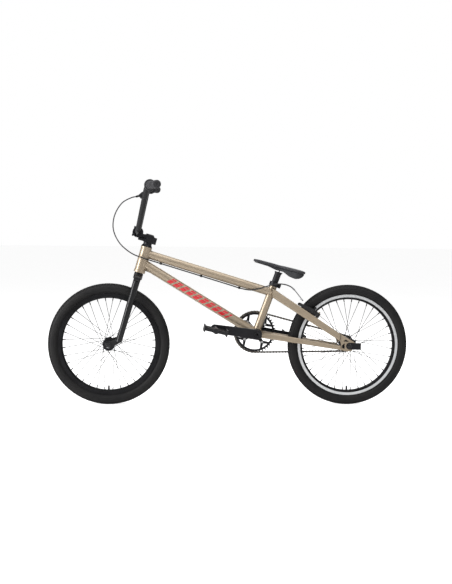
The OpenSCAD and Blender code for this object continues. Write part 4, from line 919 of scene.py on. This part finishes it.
def add_crank_bolts(ring_finish, spindle_finish):
    """Four ring bolts with a head on each face, and the two bolts that hold the arms on the spindle."""
    parts = []
    for k in range(4):
        a = math.radians(54 + 90 * k)
        centre = BOTTOM_BRACKET + BOLT_CIRCLE * Vector((math.cos(a), 0, math.sin(a)))
        inner = centre + Vector((0, RING_INNER_FACE, 0))
        outer = centre + Vector((0, RING_OUTER_FACE, 0))
        parts.append(socket_head(along(inner, inner + Vector((0, 1, 0))), 5, 1.9, 5))
        parts.append(socket_head(along(outer, outer - Vector((0, 1, 0))), 5, 1.9, 5))
        parts.append(shank(outer, inner, 4))
    make_piece("chainring_bolts", joined(*parts), "crank", ring_finish, ["crankset_bolts"])
    parts = []
    for side in (-1, 1):
        seat = BOTTOM_BRACKET + Vector((0, side * ARM_FACE, 0))
        out = seat + Vector((0, side, 0))
        parts.append(socket_head(along(seat, out), 9.2, 5.0, 8))
        parts.append(shank(BOTTOM_BRACKET + Vector((0, side * SPINDLE_END, 0)), seat, 6.9))
    make_piece("spindle_bolts", joined(*parts), "crank", spindle_finish)


def add_stem_bolts(finish):
    """Four faceplate bolts round the bar, and two pinch bolts behind the steerer."""
    parts = []
    bar = STEER_FOOT + STEM_REACH * STEER_FORWARD + BAR_UP * STEER_UP
    for y in (-0.019, 0.019):
        for s in (-0.016, 0.016):
            seat = bar + Vector((0, y, 0)) + s * STEER_UP + 0.0152 * STEER_FORWARD
            parts.append(socket_head(along(seat, seat + STEER_FORWARD), 4.8, 5.0, 5))
            parts.append(shank(seat - 0.027 * STEER_FORWARD, seat, 3))
    for s in (0.007, 0.021):
        seat = STEER_FOOT - 0.025 * STEER_FORWARD + (PINCH_UP + s) * STEER_UP + Vector((0, -0.0171, 0))
        parts.append(socket_head(along(seat, seat - Vector((0, 1, 0))), 4.8, 5.0, 5))
        parts.append(shank(seat + Vector((0, 0.032, 0)), seat, 3))
    make_piece("stem_fasteners", joined(*parts), "steering", finish, ["stem_bolts"])


# ---------- the whole bike ----------

FINISHES = {
    "black_paint": plain_finish("black_paint", (0.006, 0.006, 0.007), (0.010, 0.010, 0.011), 0.33, 0.0,
                                bumpy=0.05, wear=(0.08, 0.08, 0.08), wear_amount=0.35, coat=0.15,
                                specular=0.25),
    "black_anodised": plain_finish("black_anodised", (0.012, 0.012, 0.014), (0.022, 0.022, 0.025), 0.38, 0.55,
                                   grain=1400, bumpy=0.12, wear=(0.30, 0.30, 0.31), wear_amount=0.45),
    "black_lever": plain_finish("black_lever", (0.012, 0.012, 0.013), (0.02, 0.02, 0.021), 0.42, 0.2,
                                grain=1100, bumpy=0.2, wear=(0.22, 0.22, 0.22)),
    "pedal_metal": plain_finish("pedal_metal", (0.018, 0.018, 0.02), (0.04, 0.04, 0.043), 0.42, 0.6,
                                grain=1000, bumpy=0.25, wear=(0.40, 0.40, 0.41), wear_amount=0.8),
    "spoke_black": plain_finish("spoke_black", (0.008, 0.008, 0.009), (0.014, 0.014, 0.015), 0.42, 0.2,
                                bumpy=0.05, specular=0.25),
    "steel": plain_finish("steel", (0.45, 0.45, 0.46), (0.58, 0.58, 0.59), 0.28, 1.0, grain=1600, bumpy=0.1,
                          wear=(0.7, 0.7, 0.7), wear_radius=0.0004),
    "black_nut": plain_finish("black_nut", (0.02, 0.02, 0.022), (0.045, 0.045, 0.048), 0.36, 0.8, grain=1500,
                              bumpy=0.15, wear=(0.45, 0.44, 0.42), wear_amount=0.8),
    "noodle": plain_finish("noodle_metal", (0.20, 0.20, 0.21), (0.30, 0.30, 0.31), 0.35, 0.8,
                           grain=1600, bumpy=0.1),
    "cable_housing": plain_finish("cable_housing", (0.014, 0.014, 0.015), (0.022, 0.022, 0.024), 0.4, 0.0,
                                  grain=2200, bumpy=0.1, coat=0.2),
    "grip_rubber": plain_finish("grip_rubber", (0.02, 0.02, 0.022), (0.036, 0.036, 0.04), 0.6, 0.0,
                                grain=2600, bumpy=0.4, patch=30, sheen=0.1),
    "inner_tube": plain_finish("inner_tube", (0.016, 0.016, 0.017), (0.028, 0.028, 0.029), 0.55, 0.0,
                               bumpy=0.3),
    "saddle_shell": plain_finish("saddle_shell", (0.018, 0.019, 0.022), (0.027, 0.028, 0.032), 0.52, 0.0,
                                 grain=1900, bumpy=0.45, wear=(0.07, 0.07, 0.075), wear_amount=0.4),
    "tyre": tyre_rubber(),
    "saddle_cover": saddle_leather(),
    "chain_steel": chain_metal(),
    "frame_paint": frame_paint("frame_paint"),
}
DOWN_MIDDLE = (0.122, 0.0, 0.4387)
DOWN_SLOPE = math.atan(0.6124)
BARE_TRACK_FROM = 197.9
NO_TRACK = 300
TRACK_SILVER = (0.74, 0.75, 0.76)
TRACK_BLACK = (0.03, 0.03, 0.032)

# CAD nodes that get rounded corners, and the width of the rounding in millimetres
ROUNDED = {
    "crank_arm_left": 2.6, "crank_arm_right": 2.2, "chainring": 0.45, "stem_body": 1.3, "stem_faceplate": 1.3,
    "brake_lever_perch": 0.9, "brake_lever_blade": 1.6, "brake_arm_left": 0.9, "brake_arm_right": 0.9,
    "pedal_left": 0.6, "pedal_right": 0.6, "seat_clamp": 0.9, "chain_tensioners": 0.7, "rear_dropouts": 0.8,
    "fork_leg_left": 0.8, "fork_leg_right": 0.8, "fork_steerer": 1.4, "front_hub": 0.5, "rear_hub": 0.5,
    "front_axle_nuts": 0.5, "rear_axle_nuts": 0.5, "headset_spacers": 0.5, "rear_cog": 0.3,
    "saddle_bolt": 0.3, "seat_post": 0.6, "bottom_bracket_bearings": 0.5, "head_tube": 0.7, "frame_gussets": 0.7,
    "seat_stays": 5.0, "chain_stays": 5.0, "brake_bosses": 0.6, "bottom_bracket_shell": 0.5,
}


def repaint(node, finish):
    materials = NODES[node].data.materials
    materials.clear()
    materials.append(finish)


def finish_frame_nodes():
    """Every CAD node gets its finish, and the nodes in ROUNDED are replaced by rounded copies."""
    for node in NODES:
        if SLOT_OF[node] in FINISHES:
            repaint(node, FINISHES[SLOT_OF[node]])
    for node in ("front_axle", "rear_axle", "cable_clips"):
        repaint(node, FINISHES["black_nut"])
    graphic = (DOWN_MIDDLE, (0, -DOWN_SLOPE, 0), {"Length": 286.0, "Height": 12.5, "Slant": -0.8})
    repaint("down_tube", frame_paint("down_tube_paint", graphic))
    repaint("front_rim", rim_finish("front_rim_black", FRONT_AXLE, NO_TRACK, TRACK_BLACK))
    repaint("rear_rim", rim_finish("rear_rim_track", REAR_AXLE, BARE_TRACK_FROM, TRACK_SILVER))
    for node, width in ROUNDED.items():
        rounded(node, width, FINISHES[SLOT_OF[node]], 3 if width > 2 else 2)


add_camera()
add_cables(FINISHES["cable_housing"], FINISHES["noodle"])
add_studio()
finish_frame_nodes()
add_tyre("front_tyre", FRONT_AXLE, "front_wheel", FINISHES["tyre"])
add_tyre("rear_tyre", REAR_AXLE, "rear_wheel", FINISHES["tyre"])
add_grips(FINISHES["grip_rubber"])
add_saddle(FINISHES["saddle_cover"], FINISHES["saddle_shell"])
add_welds(FINISHES["frame_paint"])
add_crank_bolts(FINISHES["steel"], FINISHES["black_nut"])
add_stem_bolts(FINISHES["black_nut"])
